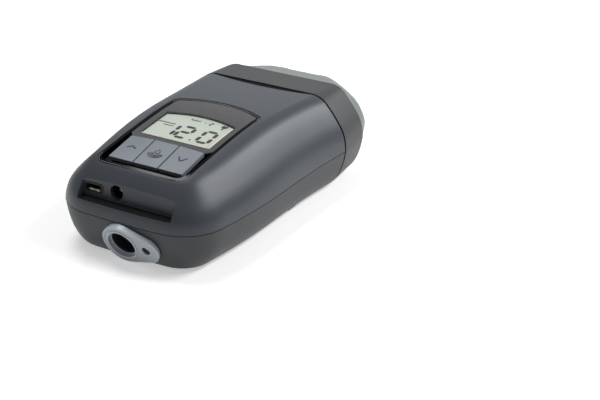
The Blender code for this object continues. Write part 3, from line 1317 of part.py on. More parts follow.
def make_outlet_seal():
    """Silicone seal: two-lobed face on the tucked nose, with a spigot through the casing."""
    source = flat_curve("seal_curve", (seal_outline(),), SEAL_DEPTH)
    back = Matrix.Translation((0, 0, -SEAL_DEPTH / 2))
    seal = solid_from_curve("outlet_seal", source, SEAL_MATRIX @ back)
    cut(seal, as_tool(casing_form("seal_seat", -GAP)))
    lip = rod("seal_lip", SEAL_BORE_RADIUS + SEAL_LIP_WIDTH, SEAL_FACE - SEAL_OUT * SEAL_PROUD / 5,
              SEAL_FACE + SEAL_OUT * SEAL_LIP_PROUD, 32)
    spigot = rod("seal_spigot", SPIGOT_RADIUS, SEAL_FACE - SEAL_OUT * SEAL_PROUD / 4,
                 SEAL_FACE - SEAL_OUT * (SEAL_PROUD + SEAL_SPIGOT_LENGTH), 32)
    mouth = rod("seal_mouth", SEAL_BORE_RADIUS, SEAL_FACE - SEAL_OUT * SEAL_PROUD,
                SEAL_FACE + SEAL_OUT * OVERRUN, 32)
    bore = rod("seal_bore", SEAL_SPIGOT_BORE, SEAL_FACE + SEAL_OUT * OVERRUN,
               SEAL_FACE - SEAL_OUT * (SEAL_SPIGOT_LENGTH + SEAL_PROUD + OVERRUN), 32)
    middle = SEAL_FACE + Vector((SEAL_LOBE_X, 0, 0))
    pocket = rod("seal_pocket", SEAL_POCKET_RADIUS, middle - SEAL_OUT * SEAL_POCKET_DEPTH,
                 middle + SEAL_OUT * OVERRUN, 16)
    join(seal, as_tool(spigot), as_tool(lip))
    cut(seal, as_tool(mouth), as_tool(bore), as_tool(pocket))
    return keep(seal, SILICONE)


def duct_route():
    """From the blower's outlet, in an S to the middle, then down to the seal."""
    start = Vector((STUB_X, at(BLOWER_AHEAD + OUTLET_STUB + GAP), BLOWER_SPLIT_Z))
    end = SEAL_FACE - SEAL_OUT * (SEAL_PROUD + SEAL_SPIGOT_LENGTH + GAP)
    level = (BLOWER_SPLIT_Z - end.z) / math.sin(SEAL_TILT)
    knee = end - SEAL_OUT * level
    run = start.y - knee.y
    points = [tuple(start), (start.x, start.y - run * 0.06, start.z),
              (start.x, start.y - run * 0.12, start.z)]
    for share in (0.35, 0.5, 0.65, 0.8):
        bend = (1 - math.cos(math.pi * (share - 0.12) / 0.8)) / 2
        points.append((start.x * (1 - bend), start.y - run * share, start.z))
    points.append((0.0, knee.y + run * 0.06, knee.z - DUCT_WALL / 4))
    points.append(tuple(end - SEAL_OUT * level * 0.45))
    points.append(tuple(end - SEAL_OUT * level * 0.12))
    points.append(tuple(end))
    return points


def make_outlet_duct():
    duct = tube("outlet_duct", smooth_curve(duct_route(), 2), DUCT_RADIUS, DUCT_RADIUS - DUCT_WALL)
    return keep(duct, INNER_PLASTIC)


def volute_outline(shrink=0.0):
    """The scroll in plan: a radius that grows once round, closed at its tongue."""
    points = []
    for step in range(VOLUTE_STEPS + 1):
        share = step / VOLUTE_STEPS
        angle = VOLUTE_START_ANGLE + 2 * math.pi * share
        radius = VOLUTE_START_RADIUS + VOLUTE_GROWTH * share - shrink
        points.append((radius * math.cos(angle), BLOWER_Y + radius * math.sin(angle)))
    return points


def volute_half(name, low, high, inner_low, inner_high):
    """One half of the blower's housing, from one height to another."""
    half = plate(name, volute_outline(), low, high)
    stub_start = (STUB_X, BLOWER_Y, BLOWER_SPLIT_Z)
    stub_end = (STUB_X, at(BLOWER_AHEAD + OUTLET_STUB), BLOWER_SPLIT_Z)
    bore_end = (STUB_X, at(BLOWER_AHEAD + OUTLET_STUB + OVERRUN), BLOWER_SPLIT_Z)
    stub = as_tool(rod(name + "_stub", DUCT_RADIUS, stub_start, stub_end))
    side = VOLUTE_START_RADIUS * 2
    keep_box = as_tool(box(name + "_side", (-side, at(BODY_LENGTH), low), (side, SEAM_Y, high)))
    within(stub, keep_box)
    join(half, stub)
    inside = plate(name + "_inside", volute_outline(VOLUTE_WALL), inner_low, inner_high)
    bore = rod(name + "_bore", DUCT_RADIUS - VOLUTE_WALL, stub_start, bore_end)
    cut(half, as_tool(inside), as_tool(bore))
    return half


def make_blower_base():
    top = BLOWER_SPLIT_Z - GAP / 2
    floor = BLOWER_BASE_Z + VOLUTE_WALL
    base = volute_half("blower_base", BLOWER_BASE_Z, top, floor, top + OVERRUN)
    ears = []
    for (x, y), angle in zip(EAR_PLACES, EAR_ANGLES_DEG):
        ears.append(rod("ear", EAR_RADIUS, (x, y, EAR_BASE_Z), (x, y, EAR_BASE_Z + EAR_THICKNESS), 20))
        arm = box("arm", (VOLUTE_START_RADIUS - VOLUTE_WALL / 2, -EAR_RADIUS / 2, EAR_BASE_Z),
                  (EAR_REACH - EAR_RADIUS / 2, EAR_RADIUS / 2, EAR_BASE_Z + EAR_THICKNESS))
        turn = Matrix.Rotation(math.radians(angle), 4, "Z")
        placed(arm, Matrix.Translation((0, BLOWER_Y, 0)) @ turn)
        join(base, as_tool(arm))
    join(base, *[as_tool(ear) for ear in ears])
    inside = plate("blower_base_clear", volute_outline(VOLUTE_WALL), floor, top + OVERRUN)
    eye = rod("blower_eye", EYE_RADIUS, (0, BLOWER_Y, BLOWER_BASE_Z - OVERRUN),
              (0, BLOWER_Y, floor + OVERRUN), 32)
    holes = gathered("ear_holes", [
        rod("ear_hole", GROMMET_WAIST + GAP, (x, y, EAR_BASE_Z - OVERRUN),
            (x, y, EAR_BASE_Z + EAR_THICKNESS + OVERRUN), 16) for x, y in EAR_PLACES])
    cut(base, as_tool(inside), as_tool(eye), as_tool(holes))
    return keep(base, INNER_PLASTIC)


COVER_INNER_Z = BLOWER_TOP_Z - VOLUTE_WALL
HUB_BASE_Z = COVER_INNER_Z - HUB_BOSS_DEPTH


def make_blower_cover():
    low = BLOWER_SPLIT_Z + GAP / 2
    cover = volute_half("blower_cover", low, BLOWER_TOP_Z, low - OVERRUN, COVER_INNER_Z)
    boss = rod("hub_boss", HUB_BOSS_RADIUS, (0, BLOWER_Y, HUB_BASE_Z),
               (0, BLOWER_Y, BLOWER_TOP_Z - VOLUTE_WALL / 2))
    seat_z = BLOWER_TOP_Z - BEARING_HEIGHT - GAP
    seat = rod("bearing_seat", BEARING_RADIUS + GAP, (0, BLOWER_Y, seat_z),
               (0, BLOWER_Y, BLOWER_TOP_Z + OVERRUN))
    hole = rod("shaft_hole", SHAFT_RADIUS + GAP * 2, (0, BLOWER_Y, BLOWER_SPLIT_Z),
               (0, BLOWER_Y, BLOWER_TOP_Z + OVERRUN))
    join(cover, as_tool(boss))
    cut(cover, as_tool(seat), as_tool(hole))
    return keep(cover, INNER_PLASTIC)


IMPELLER_TOP_Z = HUB_BASE_Z - IMPELLER_CLEARANCE
DISK_BASE_Z = IMPELLER_TOP_Z - IMPELLER_DISK


def blade_outline(turn):
    """One backward-swept blade in plan, of even thickness."""
    inner, outer = [], []
    for step in range(BLADE_STEPS + 1):
        share = step / BLADE_STEPS
        radius = BLADE_START_RADIUS + (IMPELLER_RADIUS - BLADE_START_RADIUS) * share
        angle = turn - BLADE_SWEEP * share ** 1.3
        half = BLADE_THICKNESS / 2 / radius
        inner.append((radius * math.cos(angle - half), BLOWER_Y + radius * math.sin(angle - half)))
        outer.append((radius * math.cos(angle + half), BLOWER_Y + radius * math.sin(angle + half)))
    return inner + outer[::-1]


def make_impeller():
    centre = (0.0, BLOWER_Y, 0.0)
    base = DISK_BASE_Z - BLADE_HEIGHT
    impeller = turned("impeller", (
        (SHAFT_RADIUS + GAP, IMPELLER_TOP_Z), (IMPELLER_RADIUS, IMPELLER_TOP_Z),
        (IMPELLER_RADIUS, DISK_BASE_Z), (HUB_RADIUS, DISK_BASE_Z),
        (HUB_RADIUS, base), (SHAFT_RADIUS + GAP, base)), centre, 36)
    blades = [plate("blade", blade_outline(2 * math.pi * index / BLADE_COUNT), base,
                    DISK_BASE_Z + IMPELLER_DISK / 2) for index in range(BLADE_COUNT)]
    join(impeller, as_tool(gathered("impeller_blades", blades)))
    set_origin(impeller, centre)
    return keep(impeller, INNER_PLASTIC)


MOTOR_BASE_Z = BLOWER_TOP_Z + GAP
MOTOR_TOP_Z = MOTOR_BASE_Z + MOTOR_HEIGHT
UPPER_BEARING_Z = MOTOR_TOP_Z - MOTOR_WALL - GAP - BEARING_HEIGHT
ROTOR_RADIUS = MOTOR_RADIUS - MOTOR_WALL - GAP - STATOR_WIDTH - MOTOR_AIR_GAP
ROTOR_BASE_Z = MOTOR_BASE_Z + MOTOR_WALL


def ring_piece(name, outer, inner, low, high, finish, steps=ROUND_STEPS):
    profile = ((inner, high), (outer, high), (outer, low), (inner, low))
    ring = turned(name, profile, (0.0, BLOWER_Y, 0.0), steps)
    return keep(set_origin(ring, (0.0, BLOWER_Y, 0.0)), finish)


def make_motor():
    collar = BEARING_RADIUS + GAP
    can = turned("motor_can", (
        (SHAFT_RADIUS + GAP * 2, MOTOR_TOP_Z), (MOTOR_RADIUS, MOTOR_TOP_Z),
        (MOTOR_RADIUS, MOTOR_BASE_Z), (MOTOR_RADIUS - MOTOR_WALL, MOTOR_BASE_Z),
        (MOTOR_RADIUS - MOTOR_WALL, MOTOR_TOP_Z - MOTOR_WALL),
        (collar + MOTOR_WALL, MOTOR_TOP_Z - MOTOR_WALL), (collar + MOTOR_WALL, UPPER_BEARING_Z),
        (collar, UPPER_BEARING_Z), (collar, MOTOR_TOP_Z - MOTOR_WALL),
        (SHAFT_RADIUS + GAP * 2, MOTOR_TOP_Z - MOTOR_WALL)), (0.0, BLOWER_Y, 0.0), 32)
    keep(can, ALUMINIUM)
    stator_outer = MOTOR_RADIUS - MOTOR_WALL - GAP
    ring_piece("motor_stator", stator_outer, stator_outer - STATOR_WIDTH,
               ROTOR_BASE_Z, ROTOR_BASE_Z + ROTOR_HEIGHT, COPPER, 32)
    ring_piece("motor_rotor", ROTOR_RADIUS, SHAFT_RADIUS + GAP,
               ROTOR_BASE_Z, ROTOR_BASE_Z + ROTOR_HEIGHT, MAGNET)
    ring_piece("bearing_upper", BEARING_RADIUS, SHAFT_RADIUS + GAP,
               UPPER_BEARING_Z, UPPER_BEARING_Z + BEARING_HEIGHT, STEEL)
    ring_piece("bearing_lower", BEARING_RADIUS, SHAFT_RADIUS + GAP,
               BLOWER_TOP_Z - BEARING_HEIGHT, BLOWER_TOP_Z, STEEL)
    shaft = rod("motor_shaft", SHAFT_RADIUS, (0, BLOWER_Y, DISK_BASE_Z - BLADE_HEIGHT),
                (0, BLOWER_Y, MOTOR_TOP_Z), 16)
    keep(set_origin(shaft, (0.0, BLOWER_Y, 0.0)), STEEL)


def make_grommets():
    for (x, y), label in zip(EAR_PLACES, ("right", "left", "front")):
        hole = POST_RADIUS + GAP
        low, high = GROMMET_BASE_Z, GROMMET_TOP_Z
        profile = ((hole, high), (GROMMET_RADIUS, high), (GROMMET_RADIUS, high - GROMMET_FLANGE),
                   (GROMMET_WAIST, high - GROMMET_FLANGE), (GROMMET_WAIST, low + GROMMET_FLANGE),
                   (GROMMET_RADIUS, low + GROMMET_FLANGE), (GROMMET_RADIUS, low), (hole, low))
        keep(turned("blower_grommet_" + label, profile, (x, y, 0.0), 16), RUBBER)


def make_muffler_foam():
    """Foam round the blower's inlet, with a channel to the rear for the air."""
    low = FLOOR_Z + GAP
    foam = rod("muffler_foam", FOAM_RADIUS, (0, BLOWER_Y, low), (0, BLOWER_Y, low + FOAM_THICKNESS), 32)
    half = FOAM_CHANNEL / 2
    hole = rod("foam_hole", half, (0, BLOWER_Y, low - OVERRUN), (0, BLOWER_Y, low + FOAM_RADIUS))
    channel = box("foam_channel", (-half, BLOWER_Y, low - OVERRUN), (half, SEAM_Y, low + FOAM_RADIUS))
    cut(foam, as_tool(hole), as_tool(channel))
    return keep(foam, FOAM)


def board_underside(x, y):
    """Height of the display board's underside over a place in plan."""
    seat = key_place(x, 0, DISPLAY_BOARD_BASE)
    return seat.z + (y - seat.y) * math.tan(KEY_TILT)


def make_board_parts():
    half_w, half_l = HEADER_WIDTH / 2, HEADER_LENGTH / 2
    y = at(HEADER_AHEAD)
    keep(box("board_header", (HEADER_X - half_w, y - half_l, BOARD_TOP + GAP),
             (HEADER_X + half_w, y + half_l, board_underside(HEADER_X, y - half_l) - GAP)),
         BLACK_PLASTIC)
    y = at(CAPACITOR_AHEAD)
    keep(rod("supply_capacitor", CAPACITOR_RADIUS, (CAPACITOR_X, y, BOARD_TOP + GAP),
             (CAPACITOR_X, y, BOARD_TOP + GAP + CAPACITOR_HEIGHT)), ALUMINIUM)
    half = SENSOR_WIDTH / 2
    y = at(SENSOR_AHEAD)
    top = BOARD_BASE - GAP
    sensor = box("pressure_sensor", (SENSOR_X - half, y - half, top - SENSOR_HEIGHT),
                 (SENSOR_X + half, y + half, top))
    barb = rod("sensor_barb", SENSOR_BARB_RADIUS, (SENSOR_X, y, top - SENSOR_HEIGHT / 2),
               (SENSOR_X, y - half - SENSOR_BARB_LENGTH, top - SENSOR_HEIGHT / 2), 12)
    keep(join(sensor, as_tool(barb)), BLACK_PLASTIC)


def make_sensor_tube():
    """Silicone tube from the sensor to just beside the duct's wall."""
    start = Vector((SENSOR_X, at(SENSOR_AHEAD) - SENSOR_WIDTH / 2 - SENSOR_BARB_LENGTH - GAP,
                    BOARD_BASE - GAP - SENSOR_HEIGHT / 2))
    end = Vector((DUCT_RADIUS + GAP, start.y - DUCT_RADIUS, BLOWER_SPLIT_Z))
    corner = Vector((start.x, end.y, (start.z + end.z) / 2))
    route = [start, start + Vector((0, -TUBE_RADIUS, 0)), corner.lerp(start, 0.45),
             corner.lerp(end, 0.45), end + Vector((TUBE_RADIUS, 0, 0)), end]
    points = smooth_curve([tuple(point) for point in route], 3)
    return keep(tube("sensor_tube", points, TUBE_RADIUS, TUBE_BORE, 2), SILICONE)


def make_screws():
    for x, y, label in SCREWS:
        low = FOOT_STAND + SCREW_HEAD_DEPTH
        high = low + SCREW_HEAD_HEIGHT
        profile = ((0.0, low + SCREW_LENGTH), (SCREW_RADIUS, low + SCREW_LENGTH),
                   (SCREW_RADIUS, high), (SCREW_HEAD_RADIUS, high), (SCREW_HEAD_RADIUS, low),
                   (0.0, low))
        keep(turned("casing_screw_" + label, profile, (x, y, 0.0), 16), STEEL)


def make_feet():
    for x, y, label in FEET:
        keep(plate("foot_" + label, foot_outline(x, y), 0.0, FOOT_STAND + FOOT_POCKET), RUBBER)


def main():
    make_upper_casing()
    make_lower_casing()
    make_seam_gasket()
    make_filter_cap()
    make_inlet_grille()
    make_inlet_bulkhead()
    make_air_filter()
    make_display_bezel()
    make_display_overlay()
    make_display_window()
    make_lcd_module()
    make_display_board()
    for name, side in KEY_NAMES:
        make_button(name, side)
        make_switch(name, side)
    make_main_board()
    make_usb_port()
    make_power_jack()
    make_board_parts()
    make_outlet_seal()
    make_outlet_duct()
    make_sensor_tube()
    make_blower_base()
    make_blower_cover()
    make_impeller()
    make_motor()
    make_grommets()
    make_muffler_foam()
    make_screws()
    make_feet()


main()
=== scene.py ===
"""Looks of a compact bedside breathing machine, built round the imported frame.

Run as a script. It is laid out as an add-on: property groups hold the sizes and
colours, each operator makes one piece or one group of like pieces, and main() runs them.
"""
import math

import bmesh
import bpy
from mathutils import Matrix, Vector, noise
from mathutils.bvhtree import BVHTree


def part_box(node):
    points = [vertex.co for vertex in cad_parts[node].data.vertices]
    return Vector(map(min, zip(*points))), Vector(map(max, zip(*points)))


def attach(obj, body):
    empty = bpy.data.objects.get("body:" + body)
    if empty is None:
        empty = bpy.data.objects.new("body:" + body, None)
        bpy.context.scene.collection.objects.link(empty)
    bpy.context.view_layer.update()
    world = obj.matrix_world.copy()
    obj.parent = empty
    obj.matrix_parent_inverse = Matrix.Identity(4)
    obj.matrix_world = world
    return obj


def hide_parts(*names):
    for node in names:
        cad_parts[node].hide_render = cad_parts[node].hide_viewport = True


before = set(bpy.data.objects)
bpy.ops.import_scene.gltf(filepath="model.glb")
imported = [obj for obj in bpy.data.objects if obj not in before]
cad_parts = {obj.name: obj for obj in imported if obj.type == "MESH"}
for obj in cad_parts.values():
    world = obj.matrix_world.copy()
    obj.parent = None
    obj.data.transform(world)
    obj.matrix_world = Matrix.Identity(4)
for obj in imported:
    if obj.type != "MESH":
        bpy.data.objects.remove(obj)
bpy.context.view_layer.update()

bl_info = {
    "name": "Bedside breathing machine",
    "version": (1, 0, 0),
    "blender": (4, 5, 0),
    "location": "3D View > Sidebar > Machine",
    "description": "Finishes, display marks, key marks, sockets, seal and stage",
    "category": "Object",
}

MM = 0.001

# Places on the machine, most of them measured ahead of the joint at the cap
SEAM_GAP = 1.3 * MM
SEAM_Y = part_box("filter_cap")[0][1] - SEAM_GAP
LCD_FRONT_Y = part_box("lcd_module")[0][1]
NOSE_WALL_Y = SEAM_Y - 107.0 * MM
BAY_FLOOR_Z = 24.2 * MM
BAY_HALF = 23.2 * MM
KEY_Y = SEAM_Y - 87.2 * MM
KEY_TILT = math.radians(12.0)
KEY_PITCH = 12.4 * MM
SEAL_TILT = math.radians(20.0)
SEAL_FACE = Vector((0.0, SEAM_Y - 113.106 * MM, 9.09 * MM))
SEAL_OUT = Vector((0.0, -math.cos(SEAL_TILT), -math.sin(SEAL_TILT)))
SEAL_UP = Vector((0.0, -math.sin(SEAL_TILT), math.cos(SEAL_TILT)))
DECK_HALF = 22.5 * MM
DECK_FRONT_Y = SEAM_Y - 101.0 * MM
DECK_CORNER_Y = SEAM_Y - 38.6 * MM
DECK_BOW = 6.0 * MM
UP = Vector((0.0, 0.0, 1.0))
RIGHT = Vector((1.0, 0.0, 0.0))

# Shading of the frame's nodes, and the stage
SMOOTH_BELOW = math.radians(38.0)
WELD = 0.002 * MM
FLOOR_RADIUS = 4.0
FLOOR_LIFT = 0.45
LAMP_AIM = Vector((0.0, -0.01, 0.02))


# Colours and nodes

def srgb(text):
    """Turns a hex colour, as the eye reads it, into the linear values of a shader."""
    parts = [int(text[i:i + 2], 16) / 255 for i in (1, 3, 5)]
    return [c / 12.92 if c <= 0.04045 else ((c + 0.055) / 1.055) ** 2.4 for c in parts]


def add(tree, kind, links=None, **values):
    """Adds one node, with its own values, and its sockets set or linked."""
    own = kind.startswith(("Geometry", "Function", "NodeGroup"))
    node = tree.nodes.new(kind if own else "ShaderNode" + kind)
    for key, value in values.items():
        setattr(node, key, value)
    for key, value in (links or {}).items():
        socket = node.inputs[key]
        if isinstance(value, bpy.types.NodeSocket):
            tree.links.new(value, socket)
        else:
            socket.default_value = value
    return node


def tone(colour, share):
    """The colour made lighter or darker by a share, as a shader takes it."""
    return (*[min(max(c * (1 + share), 0.0), 1.0) for c in colour[:3]], 1.0)


def fresh(name):
    """A new material with only its output, and the object coordinates to paint by."""
    made = bpy.data.materials.new(name)
    made.use_nodes = True
    made.node_tree.nodes.clear()
    tree = made.node_tree
    return made, tree, add(tree, "TexCoord").outputs["Object"]


def ended(made, shader, tree):
    add(tree, "OutputMaterial", {"Surface": shader})
    return made


def grained(name, colour, rough, grain, depth, mottle=0.05, spread=0.05, cloud=9.0,
            stretch=(1.0, 1.0, 1.0), **sockets):
    """A solid material whose grain, in millimetres, shows in its colour, gloss and relief.

    colour is linear; grain is the period and depth the height of the surface's texture;
    mottle and spread are the shares by which colour and roughness wander; cloud is the
    period of the slow wander; stretch draws the grain out along an axis, as brushing does.
    """
    made, tree, place = fresh(name)
    if stretch != (1.0, 1.0, 1.0):
        place = add(tree, "Mapping", {"Vector": place, "Scale": stretch}).outputs[0]
    fine = add(tree, "TexNoise", {"Vector": place, "Scale": 1 / (grain * MM), "Detail": 3.0,
                                  "Roughness": 0.6}).outputs[0]
    slow = add(tree, "TexNoise", {"Vector": place, "Scale": 1 / (cloud * MM),
                                  "Detail": 2.0}).outputs[0]
    both = add(tree, "Math", {0: fine, 1: slow}, operation="MULTIPLY")
    mixed = add(tree, "Mix", {0: both.outputs[0], 6: tone(colour, -mottle),
                              7: tone(colour, mottle)}, data_type="RGBA")
    gloss = add(tree, "MapRange", {"Value": fine, 1: 0.3, 2: 0.7, 3: max(rough - spread, 0.02),
                                   4: min(rough + spread, 1.0)})
    relief = add(tree, "Bump", {"Height": fine, "Distance": depth * MM, "Strength": 1.0})
    shader = add(tree, "BsdfPrincipled", {
        "Base Color": mixed.outputs[2], "Roughness": gloss.outputs[0],
        "Normal": relief.outputs[0], **{key.replace("_", " "): value
                                        for key, value in sockets.items()}})
    return ended(made, shader.outputs[0], tree)


# Sizes and colours that a user would change

def tint(name, about, text):
    return bpy.props.FloatVectorProperty(name=name, description=about, default=srgb(text),
                                         subtype="COLOR", size=3, min=0.0, max=1.0)


def length(name, about, value):
    return bpy.props.FloatProperty(name=name, description=about, default=value * MM,
                                   min=0.0, unit="LENGTH", subtype="DISTANCE")


def number(name, about, value, top=1.0):
    return bpy.props.FloatProperty(name=name, description=about, default=value,
                                   min=0.0, max=top, subtype="FACTOR")


class CasingSettings(bpy.types.PropertyGroup):
    """The moulded shells, the cap and the black joint between them."""
    upper: tint("Upper shell", "Colour of the upper shell", "#41474d")
    lower: tint("Lower shell", "Colour of the lower shell", "#37393d")
    cap: tint("Cap band", "Colour of the band at the rear", "#3e3f41")
    dome: tint("Dome", "Colour of the slotted rear dome", "#7f8582")
    gasket: tint("Joint", "Colour of the rubber joint", "#0b0c0e")
    gloss: number("Shell roughness", "How matt the shells are", 0.42)


class DisplaySettings(bpy.types.PropertyGroup):
    """The display deck, its window and what the cell shows."""
    deck: tint("Deck", "Colour of the facing round the window", "#454548")
    rim: tint("Rim", "Colour of the polished rim", "#030304")
    # The crest's pale colour is a painted highlight on the rim's bead.
    crest: tint("Crest", "Colour of the rim's bright crest", "#77797d")
    cell: tint("Cell", "Background of the display", "#c6cdc1")
    ink: tint("Ink", "Dark segments of the display", "#05070a")
    # The window edge's colour is painted light: cream beads stand for light gathered in the cut
    # edge.
    edge: tint("Window edge", "Light that shows in the window's cut edge", "#e2dcc0")
    digit_height: length("Digit height", "Height of the figures, between bar centres", 9.9)
    digit_width: length("Digit width", "Width of a figure, between bar centres", 5.6)
    stroke: length("Bar width", "Width of one bar of a figure", 1.7)
    rim_bead: length("Rim bead", "Radius of the rounded crest on the rim", 0.17)


class KeySettings(bpy.types.PropertyGroup):
    """The three keys and their raised marks."""
    face: tint("Keys", "Colour of the keys", "#7b8389")
    # The marks' dark colour is painted shade for the shadows along the raised marks.
    mark: tint("Marks", "Colour of the raised marks", "#373c40")
    stroke: length("Mark stroke", "Width of a mark's stroke", 0.75)


class SocketSettings(bpy.types.PropertyGroup):
    """The port bay, its sockets, and the outlet's silicone seal."""
    silicone: tint("Seal", "Colour of the silicone seal", "#c4ccd2")
    # The seal edge's pale colour is a painted highlight on the beads along the seal's edges.
    bead: tint("Seal edge", "Paler edge where the silicone is thin", "#dfe2e4")
    bead_radius: length("Edge bead", "Radius of the seal's rounded edges", 0.38)
    rib: length("Bay rib", "Height of the rib at the foot of the bay's wall", 0.5)


class StageSettings(bpy.types.PropertyGroup):
    """Floor, lamps and camera."""
    floor: tint("Floor", "Colour of the floor", "#e6e6e6")
    sky: tint("Room", "Colour of the room's light", "#f4f6fa")
    room_light: number("Room light", "Strength of the light from all round", 0.22, 4.0)
    key_power: number("Key lamp", "Power of the soft lamp above, in watts", 5.2, 100.0)
    band_power: number("Band lamp", "Power of the strip that lights the shoulder, in watts",
                       6.5, 100.0)
    back_power: number("Rear lamp", "Power of the low lamp behind, in watts", 1.3, 100.0)
    fill_power: number("Side lamp", "Power of the lamp at the right, in watts", 0.15, 100.0)
    lens: bpy.props.FloatProperty(name="Lens", description="Focal length on a 36 mm film",
                                  default=79.14, unit="CAMERA")


def settings(name):
    return getattr(bpy.context.scene, "machine_" + name)


# Building tools

def paint(obj, material):
    """Gives a frame node or a piece its material, in every slot that it has."""
    if not obj.material_slots:
        obj.data.materials.append(material)
    for held in obj.material_slots:
        held.material = material


def placed(name, data):
    """A new object in the scene."""
    obj = bpy.data.objects.new(name, data)
    bpy.context.scene.collection.objects.link(obj)
    return obj


def piece(name, bm, finish, body="casing", sharp=35.0):
    """Ends a mesh: one shown piece, riding on a body, with smooth faces and sharp edges."""
    bmesh.ops.recalc_face_normals(bm, faces=bm.faces[:])
    for face in bm.faces:
        face.smooth = True
    for edge in bm.edges:
        if len(edge.link_faces) == 2:
            edge.smooth = edge.calc_face_angle(0.0) < math.radians(sharp)
    mesh = bpy.data.meshes.new(name)
    bm.to_mesh(mesh)
    bm.free()
    obj = placed(name, mesh)
    paint(obj, MADE[finish])
    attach(obj, body)
    return obj


def surface(node):
    """A function that drops a plan place on to a frame node from above."""
    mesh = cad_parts[node].data
    tree = BVHTree.FromPolygons([v.co for v in mesh.vertices],
                                [p.vertices[:] for p in mesh.polygons])

    def drop(x, y):
        place, normal = tree.ray_cast(Vector((x, y, 0.1)), -UP)[:2]
        if place is None:
            raise RuntimeError(f"nothing of {node} lies under {x:.4f}, {y:.4f}")
        return place, normal
    return drop


def rounded(corners, steps=6):
    """Rounds each (x, y, radius) corner of a plan outline."""
    made = []
    for index, (x, y, radius) in enumerate(corners):
        here = Vector((x, y))
        if not radius:
            made.append(here)
            continue
        back = Vector(corners[index - 1][:2]) - here
        on = Vector(corners[(index + 1) % len(corners)][:2]) - here
        half = back.angle(on) / 2
        reach = min(radius / math.tan(half), back.length * 0.5, on.length * 0.5)
        start, end = here + back.normalized() * reach, here + on.normalized() * reach
        for step in range(steps + 1):
            t = step / steps
            made.append(start * (1 - t) ** 2 + here * 2 * t * (1 - t) + end * t * t)
    return made


def inset(outline, distance):
    """Draws a counter-clockwise plan outline inwards."""
    made = []
    for index, here in enumerate(outline):
        before = (here - outline[index - 1]).normalized()
        after = (outline[(index + 1) % len(outline)] - here).normalized()
        along = (before + after).normalized()
        made.append(here + Vector((-along.y, along.x)) * distance)
    return made


def arc(centre, radius, start, end, steps):
    return [Vector((centre[0] + radius * math.cos(math.radians(start + (end - start) * i / steps)),
                    centre[1] + radius * math.sin(math.radians(start + (end - start) * i / steps))))
            for i in range(steps + 1)]


def joined(bm, rings, closed):
    """Skins a row of rings of equal count, closed on itself or capped at both ends."""
    pairs = list(zip(rings, rings[1:])) + ([(rings[-1], rings[0])] if closed else [])
    for one, two in pairs:
        for s in range(len(one)):
            t = (s + 1) % len(one)
            bm.faces.new((one[s], one[t], two[t], two[s]))
    if not closed:
        bm.faces.new(rings[0])
        bm.faces.new(rings[-1][::-1])


def turned(bm, start, axis, profile, sides, bored=False):
    """A closed turned solid: profile is (distance along the axis, radius).

    A profile that comes back to its start leaves the solid with a bore.
    """
    axis = axis.normalized()
    side = axis.orthogonal().normalized()
    over = axis.cross(side)
    rings = []
    for along, radius in profile:
        rings.append([bm.verts.new(start + axis * along + side * radius * math.cos(t)
                                   + over * radius * math.sin(t))
                      for t in (math.tau * s / sides for s in range(sides))])
    joined(bm, rings, bored)


def bead(bm, points, radius, up=UP, closed=False, flat=1.0, sides=10):
    """A round or flattened rod along a line of points, closed or with rounded ends."""
    count = len(points)
    rings = []
    for index, point in enumerate(points):
        before = points[index - 1] if index or closed else point
        after = points[(index + 1) % count] if index < count - 1 or closed else point
        along = (after - before).normalized()
        side = along.cross(up).normalized()
        over = side.cross(along)
        size = radius if closed or 0 < index < count - 1 else radius * 0.55
        rings.append([bm.verts.new(point + side * math.cos(turn) * size
                                   + over * math.sin(turn) * size * flat)
                      for turn in (math.tau * s / sides for s in range(sides))])
    joined(bm, rings, closed)


def slab(bm, outline, place, thickness):
    """A thin plate from a flat outline: place turns (u, v) into a point and its normal."""
    spots = [place(u, v) for u, v in outline]
    low = [bm.verts.new(p) for p, n in spots]
    high = [bm.verts.new(p + n * thickness) for p, n in spots]
    bm.faces.new(low[::-1])
    bm.faces.new(high)
    for i in range(len(low)):
        j = (i + 1) % len(low)
        bm.faces.new((low[i], low[j], high[j], high[i]))


def block(bm, low, high, round_by=0.0):
    """A block between two corners, its edges rounded."""
    made = bmesh.ops.create_cube(bm, size=1.0)["verts"]
    size = Vector(high) - Vector(low)
    for vert in made:
        vert.co = Vector(low) + Vector([size[k] * (vert.co[k] + 0.5) for k in range(3)])
    if round_by:
        edges = {edge for vert in made for edge in vert.link_edges}
        bmesh.ops.bevel(bm, geom=list(edges), offset=round_by, segments=2, profile=0.5,
                        affect="EDGES")


# Materials

